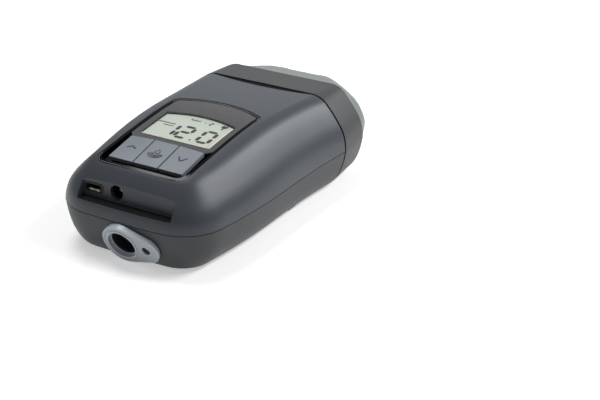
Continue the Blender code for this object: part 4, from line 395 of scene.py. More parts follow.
def finishes():
    """Every material of the machine by name. Sizes in the rows are millimetres."""
    casing, display = settings("casing"), settings("display")
    keys, sockets = settings("keys"), settings("sockets")
    made = {}

    def row(name, *values, **sockets_):
        made[name] = grained(name, *values, **sockets_)

    # Spark-eroded PC/ABS: satin, with a soft broad sheen. The real grain is about 0.1 mm,
    # too fine to show, so it is drawn at 0.45 mm.
    row("eroded_abs_slate", casing.upper, casing.gloss, 0.45, 0.006, 0.07, 0.05)
    # The lower shell is the same plastic in a more neutral, darker grey.
    row("eroded_abs_dark", casing.lower, casing.gloss + 0.05, 0.45, 0.006, 0.07, 0.05)
    # The cap's band is finer and flatter, so its sheen is weaker.
    row("eroded_abs_cap", casing.cap, 0.5, 0.4, 0.005, 0.06, 0.05)
    # The dome is a paler, plainly moulded ABS that catches the light.
    row("moulded_abs_dome", casing.dome, 0.46, 0.5, 0.006, 0.05, 0.05)
    # Moulded EPDM: almost black, dull, with a faint dusty bloom.
    row("moulded_epdm", casing.gasket, 0.7, 0.6, 0.012, 0.25, 0.08, Specular_IOR_Level=0.15)
    # Screen-printed polycarbonate film: dark, flat and satin.
    row("printed_film", display.deck, 0.4, 0.35, 0.003, 0.05, 0.04)
    # Polished ABS: piano black, mirror-like, with only a slow waviness.
    row("polished_abs_black", display.rim, 0.12, 7.0, 0.006, 0.1, 0.02,
        Specular_IOR_Level=0.18)
    # The rim's crest: a thin pale line, a painted highlight where the polish would catch the lamps.
    row("crest_painted_highlight", display.crest, 0.2, 5.0, 0.004, 0.08, 0.03)
    # Twisted-nematic cell over a reflector: pale grey-green, with a fine pixel grain.
    row("reflective_cell", display.cell, 0.5, 0.3, 0.002, 0.035, 0.05, 14.0)
    # Dark segments of the cell: flat and slightly blue.
    row("segment_ink", display.ink, 0.45, 0.4, 0.001, 0.1, 0.05)
    # Cut edge of clear acrylic: cream painted on it for the light that the edge gathers, painted
    # light.
    row("acrylic_edge_painted_light", display.edge, 0.35, 0.8, 0.002, 0.06, 0.05)
    # Keys in painted PC/ABS: silky, a little metallic sparkle in the paint.
    row("painted_abs_key", keys.face, 0.38, 0.35, 0.004, 0.06, 0.05)
    # The keys' marks: the keys' paint made darker, painted shade for the shadows along the raised
    # marks.
    row("key_mark_painted_shade", keys.mark, 0.45, 0.4, 0.003, 0.08, 0.05)
    # Cast liquid silicone: milky, light goes in and scatters, with a soft gloss.
    row("cast_silicone", sockets.silicone, 0.34, 1.2, 0.004, 0.08, 0.06, 5.0,
        Subsurface_Weight=0.35, Subsurface_Scale=1.6 * MM, IOR=1.41, Coat_Weight=0.15)
    # The seal's edge beads: paler than the seal, a painted highlight along its thin rounded edges.
    row("silicone_edge_painted_highlight", sockets.bead, 0.3, 0.9, 0.003, 0.06, 0.05, 5.0,
        Subsurface_Weight=0.45, Subsurface_Scale=1.2 * MM, IOR=1.41)
    # Moulded natural ABS inside, never painted: warm white with flow clouds.
    row("natural_abs", srgb("#c9c7bf"), 0.45, 0.7, 0.006, 0.05, 0.05, 16.0)
    # Impeller of glass-filled nylon: cream, with fine fibre streaks.
    row("filled_nylon", srgb("#d6d3c8"), 0.5, 0.5, 0.006, 0.07, 0.08, 8.0, (1.0, 1.0, 4.0))
    # Black glass-filled nylon of sockets and switches: dull, speckled.
    row("black_nylon", srgb("#101112"), 0.5, 0.3, 0.006, 0.3, 0.08)
    # Deep-drawn tin-plated steel: bright, drawn lines along the pull.
    row("tin_plate", srgb("#b9bbbd"), 0.24, 0.3, 0.002, 0.06, 0.06, 4.0, (1.0, 0.15, 1.0),
        Metallic=1.0)
    # The small socket's shell: a dark mirror, its metal darkened as a painted reflection of the
    # dark bay round it.
    row("dark_shell_painted_reflection", srgb("#3c3d40"), 0.22, 0.4, 0.002, 0.1, 0.05, Metallic=1.0)
    # Gold flash on the contacts: warm, soft mirror.
    row("gold_flash", srgb("#d8b566"), 0.22, 0.3, 0.001, 0.06, 0.05, Metallic=1.0)
    # Zinc-plated steel screws: grey with a faint yellow cloud.
    row("zinc_plate", srgb("#a9aaa6"), 0.3, 0.5, 0.003, 0.1, 0.08, 3.0, Metallic=1.0)
    # Ground shaft steel: fine rings of the grinding wheel round it.
    row("ground_steel", srgb("#c4c6c8"), 0.18, 0.2, 0.001, 0.05, 0.05, 3.0, (1.0, 1.0, 6.0),
        Metallic=1.0)
    # Spun aluminium can: satin, with turning rings along its height.
    row("spun_aluminium", srgb("#c6c8ca"), 0.3, 0.25, 0.002, 0.05, 0.06, 6.0, (0.2, 0.2, 5.0),
        Metallic=1.0)
    # Epoxy-coated magnet: dark, smooth, slightly orange-peeled.
    row("epoxy_magnet", srgb("#26272a"), 0.35, 1.1, 0.01, 0.12, 0.06)
    # The air duct's end, in carbon-black ABS: dull, and made dark as painted shade, so that the
    # bore reads as deep.
    row("black_duct_painted_shade", srgb("#1d1f23"), 0.55, 0.6, 0.006, 0.12, 0.06)
    # Nickel-plated brass pin, and the small socket's springs: pale, slightly warm, nearly white so
    # that they show bright even in the dark hole, a painted glint.
    row("pin_plating_painted_glint", srgb("#fff4d8"), 0.3, 0.5, 0.001, 0.05, 0.04, Metallic=0.35)
    made["clear_acrylic"] = clear_acrylic()
    made["solder_mask"] = solder_mask()
    made["wound_stator"] = wound_stator()
    made["pressed_fibre"] = fibres("pressed_fibre", srgb("#dfe3e6"), 0.5, 0.12)
    made["open_foam"] = open_foam()
    return made


def clear_acrylic():
    """Clear hard-coated acrylic: nearly all light goes through, a faint haze stays."""
    made, tree, place = fresh("clear_acrylic")
    haze = add(tree, "TexNoise", {"Vector": place, "Scale": 1 / (6 * MM), "Detail": 2.0})
    rough = add(tree, "MapRange", {"Value": haze.outputs[0], 3: 0.10, 4: 0.16})
    shader = add(tree, "BsdfPrincipled", {
        "Base Color": (*srgb("#cfd6cc"), 1.0), "Roughness": rough.outputs[0], "IOR": 1.49,
        "Alpha": 0.035})
    return ended(made, shader.outputs[0], tree)


def solder_mask():
    """Glass-epoxy board under green solder mask: traces show as paler, raised lines."""
    made, tree, place = fresh("solder_mask")
    lanes = add(tree, "TexBrick", {
        "Vector": place, "Scale": 1.0, "Brick Width": 5.2 * MM, "Row Height": 1.3 * MM,
        "Mortar Size": 0.22 * MM, "Color1": (*srgb("#0f4a2c"), 1.0),
        "Color2": (*srgb("#0c3f26"), 1.0), "Mortar": (*srgb("#2c7a4a"), 1.0)}, offset=0.37)
    relief = add(tree, "Bump", {"Height": lanes.outputs["Fac"], "Distance": 0.02 * MM})
    shader = add(tree, "BsdfPrincipled", {
        "Base Color": lanes.outputs["Color"], "Roughness": 0.3, "Normal": relief.outputs[0]})
    return ended(made, shader.outputs[0], tree)


def wound_stator():
    """Stator: enamelled copper wire of 0.4 mm laid in turns over silicon steel sheets; the grooves
    between turns are painted dark, painted shade.
    """
    made, tree, place = fresh("wound_stator")
    turns = add(tree, "TexWave", {"Vector": place, "Scale": 1 / (2.4 * MM), "Distortion": 0.6,
                                  "Detail": 1.0}, wave_type="BANDS", bands_direction="Z")
    # Painted shade: dark brown where the turns' relief is low, copper where it is high.
    shade = add(tree, "Mix", {0: turns.outputs["Fac"], 6: (*srgb("#5e2f18"), 1.0),
                              7: (*srgb("#b8693a"), 1.0)}, data_type="RGBA")
    relief = add(tree, "Bump", {"Height": turns.outputs["Fac"], "Distance": 0.15 * MM})
    shader = add(tree, "BsdfPrincipled", {
        "Base Color": shade.outputs[2], "Metallic": 0.8, "Roughness": 0.32,
        "Normal": relief.outputs[0]})
    return ended(made, shader.outputs[0], tree)


def fibres(name, colour, period, depth):
    """Needled polyester: white threads in all directions, soft and without gloss."""
    made, tree, place = fresh(name)
    bent = add(tree, "TexNoise", {"Vector": place, "Scale": 1 / (4 * MM), "Detail": 4.0})
    lines = add(tree, "TexWave", {"Vector": bent.outputs["Color"], "Scale": 9.0,
                                  "Distortion": 9.0, "Detail": 4.0}, wave_type="BANDS")
    tufts = add(tree, "TexNoise", {"Vector": place, "Scale": 1 / (period * MM), "Detail": 6.0})
    height = add(tree, "Math", {0: lines.outputs["Fac"], 1: tufts.outputs[0]},
                 operation="ADD")
    shade = add(tree, "Mix", {0: tufts.outputs[0], 6: tone(colour, -0.22),
                              7: tone(colour, 0.12)}, data_type="RGBA")
    relief = add(tree, "Bump", {"Height": height.outputs[0], "Distance": depth * MM})
    shader = add(tree, "BsdfPrincipled", {
        "Base Color": shade.outputs[2], "Roughness": 0.95, "Sheen Weight": 0.35,
        "Normal": relief.outputs[0]})
    return ended(made, shader.outputs[0], tree)


def open_foam():
    """Reticulated polyurethane: charcoal, with open cells of about 1.2 mm, their hollows painted
    darker as painted shade.
    """
    made, tree, place = fresh("open_foam")
    cells = add(tree, "TexVoronoi", {"Vector": place, "Scale": 1 / (1.2 * MM)},
                feature="DISTANCE_TO_EDGE")
    # Painted shade: the colour darkens from the cells' edges into their hollows.
    shade = add(tree, "MapRange", {"Value": cells.outputs["Distance"], 1: 0.0, 2: 0.25})
    colour = add(tree, "Mix", {0: shade.outputs[0], 6: (*srgb("#3a3b3e"), 1.0),
                               7: (*srgb("#0c0c0d"), 1.0)}, data_type="RGBA")
    relief = add(tree, "Bump", {"Height": shade.outputs[0], "Distance": 0.4 * MM},
                 invert=True)
    shader = add(tree, "BsdfPrincipled", {
        "Base Color": colour.outputs[2], "Roughness": 0.9, "Normal": relief.outputs[0]})
    return ended(made, shader.outputs[0], tree)


def softened():
    """A modifier's node group: welds the frame's triangles and shades them smooth by angle."""
    group = bpy.data.node_groups.new("shade_by_angle", "GeometryNodeTree")
    for way in ("INPUT", "OUTPUT"):
        group.interface.new_socket("Geometry", in_out=way, socket_type="NodeSocketGeometry")
    start = add(group, "NodeGroupInput")
    bare = add(group, "GeometryNodeRemoveAttribute", {0: start.outputs[0],
                                                      "Name": "custom_normal"})
    whole = add(group, "GeometryNodeMergeByDistance", {0: bare.outputs[0],
                                                       "Distance": WELD})
    angle = add(group, "GeometryNodeInputMeshEdgeAngle")
    sharp = add(group, "FunctionNodeCompare", {0: angle.outputs[0], 1: SMOOTH_BELOW},
                data_type="FLOAT", operation="GREATER_THAN")
    faces = add(group, "GeometryNodeSetShadeSmooth", {0: whole.outputs[0],
                                                      "Shade Smooth": True}, domain="FACE")
    edges = add(group, "GeometryNodeSetShadeSmooth", {
        0: faces.outputs[0], "Selection": sharp.outputs[0], "Shade Smooth": False},
        domain="EDGE")
    add(group, "NodeGroupOutput", {0: edges.outputs[0]})
    return group


# Which material each node of the frame wears
WORN = {
    "upper_casing": "eroded_abs_slate", "lower_casing": "eroded_abs_dark",
    "filter_cap": "eroded_abs_cap", "inlet_grille": "moulded_abs_dome",
    "seam_gasket": "moulded_epdm", "inlet_bulkhead": "natural_abs",
    "display_bezel": "polished_abs_black", "display_overlay": "printed_film",
    "display_window": "clear_acrylic", "lcd_module": "reflective_cell",
    "outlet_seal": "cast_silicone", "sensor_tube": "cast_silicone",
    "outlet_duct": "black_duct_painted_shade", "blower_base": "natural_abs", "blower_cover": "natural_abs",
    "impeller": "filled_nylon", "motor_can": "spun_aluminium", "motor_shaft": "ground_steel",
    "motor_rotor": "epoxy_magnet", "motor_stator": "wound_stator",
    "usb_port": "dark_shell_painted_reflection", "power_jack": "black_nylon", "board_header": "black_nylon",
    "pressure_sensor": "black_nylon", "supply_capacitor": "spun_aluminium",
    "main_board": "solder_mask", "display_board": "solder_mask",
    "air_filter": "pressed_fibre", "muffler_foam": "open_foam",
}
WORN_BY_START = {"button_": "painted_abs_key", "switch_": "black_nylon",
                 "foot_": "moulded_epdm", "blower_grommet_": "moulded_epdm",
                 "bearing_": "ground_steel", "casing_screw_": "zinc_plate"}
# The materials by name, once the finishes are mixed
MADE = {}


# Operators: one piece or one group of like pieces each

class MACHINE_OT_finishes(bpy.types.Operator):
    """Mixes the materials and gives every node of the frame its own"""
    bl_idname = "machine.finishes"
    bl_label = "Finishes"

    def execute(self, context):
        MADE.update(finishes())
        group = softened()
        for name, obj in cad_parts.items():
            obj.modifiers.new("shade_by_angle", "NODES").node_group = group
            even = obj.modifiers.new("even_normals", "WEIGHTED_NORMAL")
            even.keep_sharp = True
            worn = WORN.get(name)
            for start, other in WORN_BY_START.items():
                if name.startswith(start):
                    worn = other
            if worn is None:
                raise RuntimeError("no finish for " + name)
            paint(obj, MADE[worn])
        return {"FINISHED"}


def deck_outline():
    """The display opening in plan: straight front and sides, arched rear."""
    radius = (DECK_HALF ** 2 + DECK_BOW ** 2) / (2 * DECK_BOW)
    reach = math.degrees(math.asin(DECK_HALF / radius))
    rear = arc((0.0, DECK_CORNER_Y + DECK_BOW - radius), radius, 90 - reach, 90 + reach, 12)
    corners = [(-DECK_HALF, DECK_FRONT_Y, 5.5 * MM), (DECK_HALF, DECK_FRONT_Y, 5.5 * MM),
               (*rear[0], 4.0 * MM), *[(*p, 0.0) for p in rear[2:-2]], (*rear[-1], 4.0 * MM)]
    return rounded(corners)


class MACHINE_OT_rim_bead(bpy.types.Operator):
    """Lays the rounded crest on the polished rim round the display deck, pale as a painted
    highlight
    """
    bl_idname = "machine.rim_bead"
    bl_label = "Rim bead"

    def execute(self, context):
        rim_middle, sunk = 0.8 * MM, 0.35
        radius = settings("display").rim_bead
        drop = surface("display_bezel")
        path = [drop(*spot)[0] - UP * radius * sunk
                for spot in inset(deck_outline(), rim_middle)]
        bm = bmesh.new()
        bead(bm, path, radius, closed=True, sides=12)
        piece("display_rim_highlight_bead", bm, "crest_painted_highlight")
        return {"FINISHED"}


# Bars of a figure, as ends on a grid of (0 or 1 across, 0 to 2 up)
BARS = {"a": ((0, 2), (1, 2)), "b": ((1, 2), (1, 1)), "c": ((1, 1), (1, 0)),
        "d": ((1, 0), (0, 0)), "e": ((0, 0), (0, 1)), "f": ((0, 1), (0, 2)),
        "g": ((0, 1), (1, 1))}
FIGURES = {"0": "abcdef", "1": "bc", "2": "abged"}


def lcd_place():
    """A function that turns (x, v) on the cell's face into a point and its normal."""
    drop = surface("lcd_module")
    near, far = drop(0.0, LCD_FRONT_Y + 1.0 * MM)[0], drop(0.0, LCD_FRONT_Y + 20.0 * MM)[0]
    along = (far - near).normalized()
    front = near - along * (1.0 * MM / along.y)
    normal = RIGHT.cross(along)

    def place(x, v):
        return front + RIGHT * x + along * v, normal
    return place


def bar_outline(start, end, width, gap):
    """One bar of a figure: a long plate with pointed ends."""
    along = (end - start).normalized()
    side = Vector((-along.y, along.x)) * width / 2
    start, end = start + along * gap, end - along * gap
    tip = along * width / 2
    return [start, start + tip - side, end - tip - side, end, end - tip + side,
            start + tip + side]


def figure(bm, digit, corner, size, width, gap, place, ink):
    """One figure of the display, bar by bar, up from its lower left corner."""
    for name in FIGURES[digit]:
        ends = [Vector((corner[0] + u * size[0], corner[1] + v * size[1] / 2))
                for u, v in BARS[name]]
        slab(bm, bar_outline(*ends, width, gap), place, ink)


def dash(bm, start, end, width, place, ink):
    """A single stroke on the display, between two places in millimetres."""
    slab(bm, bar_outline(Vector(start) * MM, Vector(end) * MM, width, 0.0), place, ink)


class MACHINE_OT_lcd_figures(bpy.types.Operator):
    """Lays the display's figures, marks and plug symbol on the cell, and the window's edge in
    painted light
    """
    bl_idname = "machine.lcd_figures"
    bl_label = "Display figures"

    def execute(self, context):
        place, ink = lcd_place(), 0.05 * MM
        self.numerals(settings("display"), place, ink)
        self.marks(place, ink)
        self.plug(place, ink)
        self.lit_edge()
        return {"FINISHED"}

    def numerals(self, display, place, ink):
        """The pressure in large figures, with its decimal point."""
        foot, gap, point_x, point_radius = 4.5 * MM, 0.35 * MM, 4.9 * MM, 0.55 * MM
        size = display.digit_width, display.digit_height
        bm = bmesh.new()
        for digit, left in (("1", -11.1 * MM), ("2", -3.5 * MM), ("0", 7.6 * MM)):
            figure(bm, digit, (left, foot), size, display.stroke, gap, place, ink)
        slab(bm, arc((point_x, foot), point_radius, 0, 330, 11), place, ink)
        piece("lcd_numerals", bm, "segment_ink")

    def marks(self, place, ink):
        """The small figure, its dash, and plain strokes where the words were."""
        width, gap = 0.52 * MM, 0.1 * MM
        bm = bmesh.new()
        figure(bm, "2", (4.9 * MM, 19.6 * MM), (1.5 * MM, 2.2 * MM), width, gap, place, ink)
        dash(bm, (2.1, 20.7), (3.1, 20.7), width, place, ink)
        # Rows of upright bars on a line: start, level, count, pitch and height in millimetres
        rows = ((-18.0, 13.9, 17, 0.58, 0.85), (-13.3, 12.0, 9, 0.6, 0.7),
                (-4.6, 20.6, 7, 0.75, 1.3))
        short, upright, line, thinner = 0.7, width * 0.8, width * 0.6, ink * 0.8
        for start, level, count, pitch, high in rows:
            for index in range(count):
                x = start + index * pitch
                top = level + high * (short if index % 3 else 1.0)
                dash(bm, (x, level), (x, top), upright, place, ink)
            dash(bm, (start, level), (start + (count - 1) * pitch, level), line, place, thinner)
        piece("lcd_marks", bm, "segment_ink")

    def plug(self, place, ink):
        """The plug symbol: a cup with a straight brim, two pins above it and a lead below."""
        x, v, cup, brim = 12.4, 20.9, 1.5, 0.6
        pin_width, lead_width = 0.55 * MM, 0.8 * MM
        body = [Vector((x - cup, v + brim)), *arc((x, v), cup, 180, 360, 12),
                Vector((x + cup, v + brim))]
        bm = bmesh.new()
        slab(bm, [spot * MM for spot in body], place, ink)
        for side in (-0.7, 0.7):
            dash(bm, (x + side, v + 0.4), (x + side, v + 1.7), pin_width, place, ink * 0.9)
        dash(bm, (x, v - 1.2), (x - 0.1, v - 3.3), lead_width, place, ink * 0.8)
        piece("lcd_plug_symbol", bm, "segment_ink")

    def lit_edge(self):
        """The window's cut edge, painted cream along its front and right sides as painted light."""
        low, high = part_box("display_window")
        drop = surface("display_window")
        steps, sunk = 8, 0.08 * MM
        front_y, right_x = low[1] + 0.25 * MM, high[0] - 0.42 * MM
        edges = (((low[0] + 0.3 * MM, front_y), (high[0] - 0.4 * MM, front_y), 0.22 * MM),
                 ((right_x, low[1] + 0.3 * MM), (right_x, high[1] - 4.6 * MM), 0.36 * MM))
        bm = bmesh.new()
        for (x0, y0), (x1, y1), radius in edges:
            path = [drop(x0 + (x1 - x0) * t, y0 + (y1 - y0) * t)[0] - UP * sunk
                    for t in (step / steps for step in range(steps + 1))]
            bead(bm, path, radius, flat=0.4)
        piece("window_edge_painted_light", bm, "acrylic_edge_painted_light")


def key_stroke_paths():
    """Each key's mark as (key, lines of (x, along) in millimetres from the key's middle)."""
    rings = [[(p.x, p.y) for p in arc((0.0, 0.9), r, 198, 342, 14)] for r in (2.1, 2.95, 3.8)]
    power = [[(p.x, p.y) for p in arc((0.0, 1.2), 1.15, 130, 410, 14)],
             [(0.0, 1.5), (0.0, 3.1)]]
    return [("up", -1, [[(-2.3, -0.3), (0.0, 1.3), (2.3, -0.3)]]),
            ("ramp", 0, rings + power),
            ("down", 1, [[(-2.3, 2.2), (-0.3, -0.6), (2.0, 2.2)]])]


class MACHINE_OT_key_marks(bpy.types.Operator):
    """Raises the marks on the three keys"""
    bl_idname = "machine.key_marks"
    bl_label = "Key marks"

    def execute(self, context):
        width = settings("keys").stroke
        per_line, lift = 3, UP * 0.02 * MM
        for name, side, lines in key_stroke_paths():
            # The middle key's mark has more lines, so each of them is thinner.
            radius = width * (0.5 if len(lines) == 1 else 0.36)
            drop = surface("button_" + name)
            bm = bmesh.new()
            for line in lines:
                path = [(u0 + (u1 - u0) * step / per_line, v0 + (v1 - v0) * step / per_line)
                        for (u0, v0), (u1, v1) in zip(line, line[1:])
                        for step in range(per_line)] + [line[-1]]
                spots = [drop(side * KEY_PITCH + u * MM, KEY_Y + v * MM * math.cos(KEY_TILT))[0]
                         for u, v in path]
                bead(bm, [spot + lift for spot in spots], radius, flat=0.5, sides=8)
            piece("key_mark_" + name, bm, "key_mark_painted_shade", name + "_key")
        return {"FINISHED"}


class MACHINE_OT_port_bay(bpy.types.Operator):
    """Adds the bay's rib and a dark strip of painted shade on its floor, the small socket's
    contacts and the pin's tip
    """
    bl_idname = "machine.port_bay"
    bl_label = "Port bay"

    def execute(self, context):
        self.rib_and_floor_shade(settings("sockets").rib, BAY_HALF - 0.3 * MM)
        self.small_socket()
        self.round_socket()
        return {"FINISHED"}

    def rib_and_floor_shade(self, rib, reach):
        """The rib at the foot of the bay's wall, and a dark strip from it to the bay's lip, painted
        shade on the floor.
        """
        bm = bmesh.new()
        block(bm, (-reach, NOSE_WALL_Y - rib, BAY_FLOOR_Z - 0.1 * MM),
              (reach, NOSE_WALL_Y + 0.3 * MM, BAY_FLOOR_Z + rib * 1.3), 0.15 * MM)
        piece("bay_rib", bm, "eroded_abs_slate")

        # The strip's front edge follows the lip, a small way back from where the floor falls.
        drop = surface("upper_casing")
        count, step, back, thick = 24, 0.2 * MM, 0.25 * MM, 0.12 * MM
        near, under = NOSE_WALL_Y - rib, BAY_FLOOR_Z - 0.02 * MM
        front = []
        for index in range(count + 1):
            x = -reach + 2 * reach * index / count
            y = near
            while drop(x, y - step)[0].z > under and y > near - 6 * MM:
                y -= step
            front.append((x, y + back))
        # Painted shade: a dark sheet in the black rubber finish, laid where the bay's floor lies in
        # shade.
        bm = bmesh.new()
        slab(bm, [*front, (reach, near), (-reach, near)],
             lambda x, y: (Vector((x, y, under)), UP), thick)
        piece("bay_floor_painted_shade", bm, "moulded_epdm")

    def small_socket(self):
        """The small socket's raised frame, the springs on its floor, pale as a painted highlight,
        and its gold contacts.
        """
        low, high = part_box("usb_port")
        middle, centre = (low[0] + high[0]) / 2, high[2] - 1.4 * MM
        # The frame's section: width, height and place behind the bay's wall, in millimetres
        section = ((9.6, 4.3, 0.25), (9.6, 4.3, -0.08), (9.2, 3.9, -0.16), (7.9, 3.0, -0.1),
                   (7.5, 2.7, 0.25), (7.5, 2.7, 1.6), (7.9, 3.0, 1.7))
        corner_share = 0.46
        bm = bmesh.new()
        loops = []
        for wide, tall, y in section:
            corners = [(sx * wide / 2, sz * tall / 2, tall * corner_share)
                       for sx, sz in ((-1, -1), (1, -1), (1, 1), (-1, 1))]
            loops.append([bm.verts.new((middle + u * MM, NOSE_WALL_Y + y * MM, centre + v * MM))
                          for u, v in rounded(corners, 7)])
        joined(bm, loops, True)
        piece("usb_surround", bm, "black_nylon")

        # The springs wear the pin's near-white finish, a painted highlight on the socket's floor.
        floor, half = centre - 1.33 * MM, 1.3 * MM
        bm = bmesh.new()
        for x in (middle - 1.5 * MM, middle + 1.5 * MM):
            block(bm, (x - half, NOSE_WALL_Y + 0.35 * MM, floor - 0.02 * MM),
                  (x + half, NOSE_WALL_Y + 1.5 * MM, floor + 0.45 * MM), 0.1 * MM)
        piece("usb_spring_bars", bm, "pin_plating_painted_glint")

        lip, pitch, half = low[1] + 0.15 * MM, 0.65 * MM, 0.13 * MM
        bm = bmesh.new()
        for index in range(-2, 3):
            x = middle + index * pitch
            block(bm, (x - half, lip + 0.4 * MM, centre - 0.06 * MM),
                  (x + half, lip + 3.6 * MM, centre + 0.01 * MM), 0.02 * MM)
        piece("usb_contacts", bm, "gold_flash")

    def round_socket(self):
        """The plated tip of the round socket's pin, nearly white as a painted glint."""
        low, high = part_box("power_jack")
        start = Vector(((low[0] + high[0]) / 2, low[1] - 0.15 * MM, (low[2] + high[2]) / 2))
        profile = ((0.0, 0.3), (0.1, 0.8), (0.35, 1.05), (2.4, 1.05), (2.4, 0.7))
        bm = bmesh.new()
        turned(bm, start, Vector((0, 1, 0)), [(a * MM, r * MM) for a, r in profile], 20)
        piece("jack_pin_tip", bm, "pin_plating_painted_glint")


class MACHINE_OT_outlet_beads(bpy.types.Operator):
    """Rounds the silicone seal's edges with paler beads, a painted highlight, and lines its bore
    with the duct's end, dark as painted shade
    """
    bl_idname = "machine.outlet_beads"
    bl_label = "Outlet seal beads"

    def execute(self, context):
        radius = settings("sockets").bead_radius
        big, small, reach = 9.5 * MM - radius, 6.3 * MM - radius, 11.8 * MM
        lean = math.degrees(math.acos((big - small) / reach))
        rim = (arc((0.0, 0.0), big, lean, 360 - lean, 40)
               + arc((reach, 0.0), small, -lean, lean, 20))
        bore = arc((0.0, 0.0), 7.05 * MM, 0, 352, 44)
        pocket = arc((reach, 0.0), 2.35 * MM, 0, 345, 22)
        for name, line, size, sunk in (("seal_edge_bead", rim, radius, 0.5),
                                       ("seal_bore_bead", bore, radius, -0.35),
                                       ("seal_pocket_bead", pocket, radius * 0.75, 0.6)):
            path = [SEAL_FACE + RIGHT * u + SEAL_UP * v - SEAL_OUT * size * sunk
                    for u, v in line]
            bm = bmesh.new()
            bead(bm, path, size, up=SEAL_OUT, closed=True, sides=10)
            piece(name, bm, "silicone_edge_painted_highlight")
        # Painted shade: a dark tube in the duct's finish lines the bore, so that it reads as deep.
        bm = bmesh.new()
        wall = ((1.6, 5.93), (1.9, 5.7), (6.4, 5.7), (6.4, 5.93))
        turned(bm, SEAL_FACE, -SEAL_OUT, [(a * MM, r * MM) for a, r in wall], 48, True)
        piece("outlet_bore_painted_shade", bm, "black_duct_painted_shade")
        return {"FINISHED"}


class MACHINE_OT_screw_faces(bpy.types.Operator):
    """Sets a cross-recessed face in each screw's head, under the base"""
    bl_idname = "machine.screw_faces"
    bl_label = "Screw faces"

    def execute(self, context):
        outer, arm, half = 2.45 * MM, 1.55 * MM, 0.38 * MM
        thick, edge, proud, sides = 0.5 * MM, 0.25 * MM, 0.05 * MM, 48
        for node in sorted(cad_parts):
            if not node.startswith("casing_screw_"):
                continue
            low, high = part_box(node)
            centre = Vector(((low[0] + high[0]) / 2, (low[1] + high[1]) / 2, low[2]))
            bm = bmesh.new()
            rings = []
            for size, drop in ((outer - edge, thick), (outer, thick - edge), (outer, -proud),
                               (None, -proud), (None, thick)):
                ring = []
                for s in range(sides):
                    t = math.tau * s / sides
                    c, n = abs(math.cos(t)) + 1e-9, abs(math.sin(t)) + 1e-9
                    cross = max(min(arm / c, half / n), min(half / c, arm / n))
                    r = size if size else cross
                    ring.append(bm.verts.new(centre + Vector((r * math.cos(t), r * math.sin(t),
                                                              -drop))))
                rings.append(ring)
            joined(bm, rings, True)
            piece("screw_face_" + node[13:], bm, "zinc_plate")
        return {"FINISHED"}


class MACHINE_OT_filter_pad(bpy.types.Operator):
    """Makes the soft filter pad: crowned faces, a pressed rim and a fibrous skin"""
    bl_idname = "machine.filter_pad"
    bl_label = "Filter pad"

    def execute(self, context):
        low, high = (Vector(corner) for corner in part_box("air_filter"))
        middle, half = (low + high) / 2, (high - low) / 2
        across, up, rim, corner = 44, 20, 1.6 * MM, 4.0 * MM
        # Shares of half the thickness: the pressed rim, what swells behind it, crown and fuzz
        pressed, swollen, crowned, fuzzy, most = 0.28, 0.62, 0.08, 0.02, 0.99
        fuzz_period = 1.4 * MM
        bm = bmesh.new()
        sides = []
        for face in (-1, 1):
            grid = []
            for i in range(across + 1):
                line = []
                for j in range(up + 1):
                    x = half.x * math.sin((i / across - 0.5) * math.pi)
                    z = half.z * math.sin((j / up - 0.5) * math.pi)
                    x, z = self.rounded_in(x, z, half, corner)
                    edge = min(half.x - abs(x), half.z - abs(z))
                    swell = pressed + swollen * math.sin(min(edge / rim, 1.0) * math.pi / 2)
                    crown = crowned * (1 - (x / half.x) ** 2) * (1 - (z / half.z) ** 2)
                    fuzz = noise.noise(Vector((x, z, face * 3.0)) / fuzz_period) * fuzzy
                    depth = half.y * min(swell + crown + fuzz, most)
                    line.append(bm.verts.new((middle.x + x, middle.y + face * depth,
                                              middle.z + z)))
                grid.append(line)
            for i in range(across):
                for j in range(up):
                    bm.faces.new((grid[i][j], grid[i + 1][j], grid[i + 1][j + 1],
                                  grid[i][j + 1]))
            loop = ([grid[i][0] for i in range(across)] + [grid[across][j] for j in range(up)]
                    + [grid[across - i][up] for i in range(across)]
                    + [grid[0][up - j] for j in range(up)])
            sides.append(loop)
        count = len(sides[0])
        for i in range(count):
            j = (i + 1) % count
            bm.faces.new((sides[0][i], sides[0][j], sides[1][j], sides[1][i]))
        pad = piece("filter_pad", bm, "pressed_fibre", sharp=80.0)
        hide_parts("air_filter")
        return {"FINISHED"}

    def rounded_in(self, x, z, half, corner):
        """Pulls a place that lies outside the pad's rounded corner back on to it."""
        over_x, over_z = abs(x) - (half.x - corner), abs(z) - (half.z - corner)
        if over_x > 0 and over_z > 0 and math.hypot(over_x, over_z) > corner:
            shrink = corner / math.hypot(over_x, over_z)
            x -= math.copysign(over_x * (1 - shrink), x)
            z -= math.copysign(over_z * (1 - shrink), z)
        return x, z


class MACHINE_OT_sound_foam(bpy.types.Operator):
    """Makes the sound foam under the blower, with an open-celled, uneven skin"""
    bl_idname = "machine.sound_foam"
    bl_label = "Sound foam"

    def execute(self, context):
        copy = placed("foam_source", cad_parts["muffler_foam"].data.copy())
        grid = copy.modifiers.new("grid", "REMESH")
        grid.mode = "VOXEL"
        grid.voxel_size = 0.9 * MM
        found = copy.evaluated_get(context.evaluated_depsgraph_get())
        bm = bmesh.new()
        bm.from_mesh(found.to_mesh())
        found.to_mesh_clear()
        bpy.data.objects.remove(copy)
        bm.normal_update()
        least, wander, period = 0.05, 0.35, 1.7 * MM
        for vert, normal in [(v, v.normal.copy()) for v in bm.verts]:
            wave = noise.noise(vert.co / period) * 0.5 + 0.5
            vert.co -= normal * (least + wander * wave) * MM
        foam = piece("sound_foam", bm, "open_foam", sharp=90.0)
        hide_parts("muffler_foam")
        return {"FINISHED"}


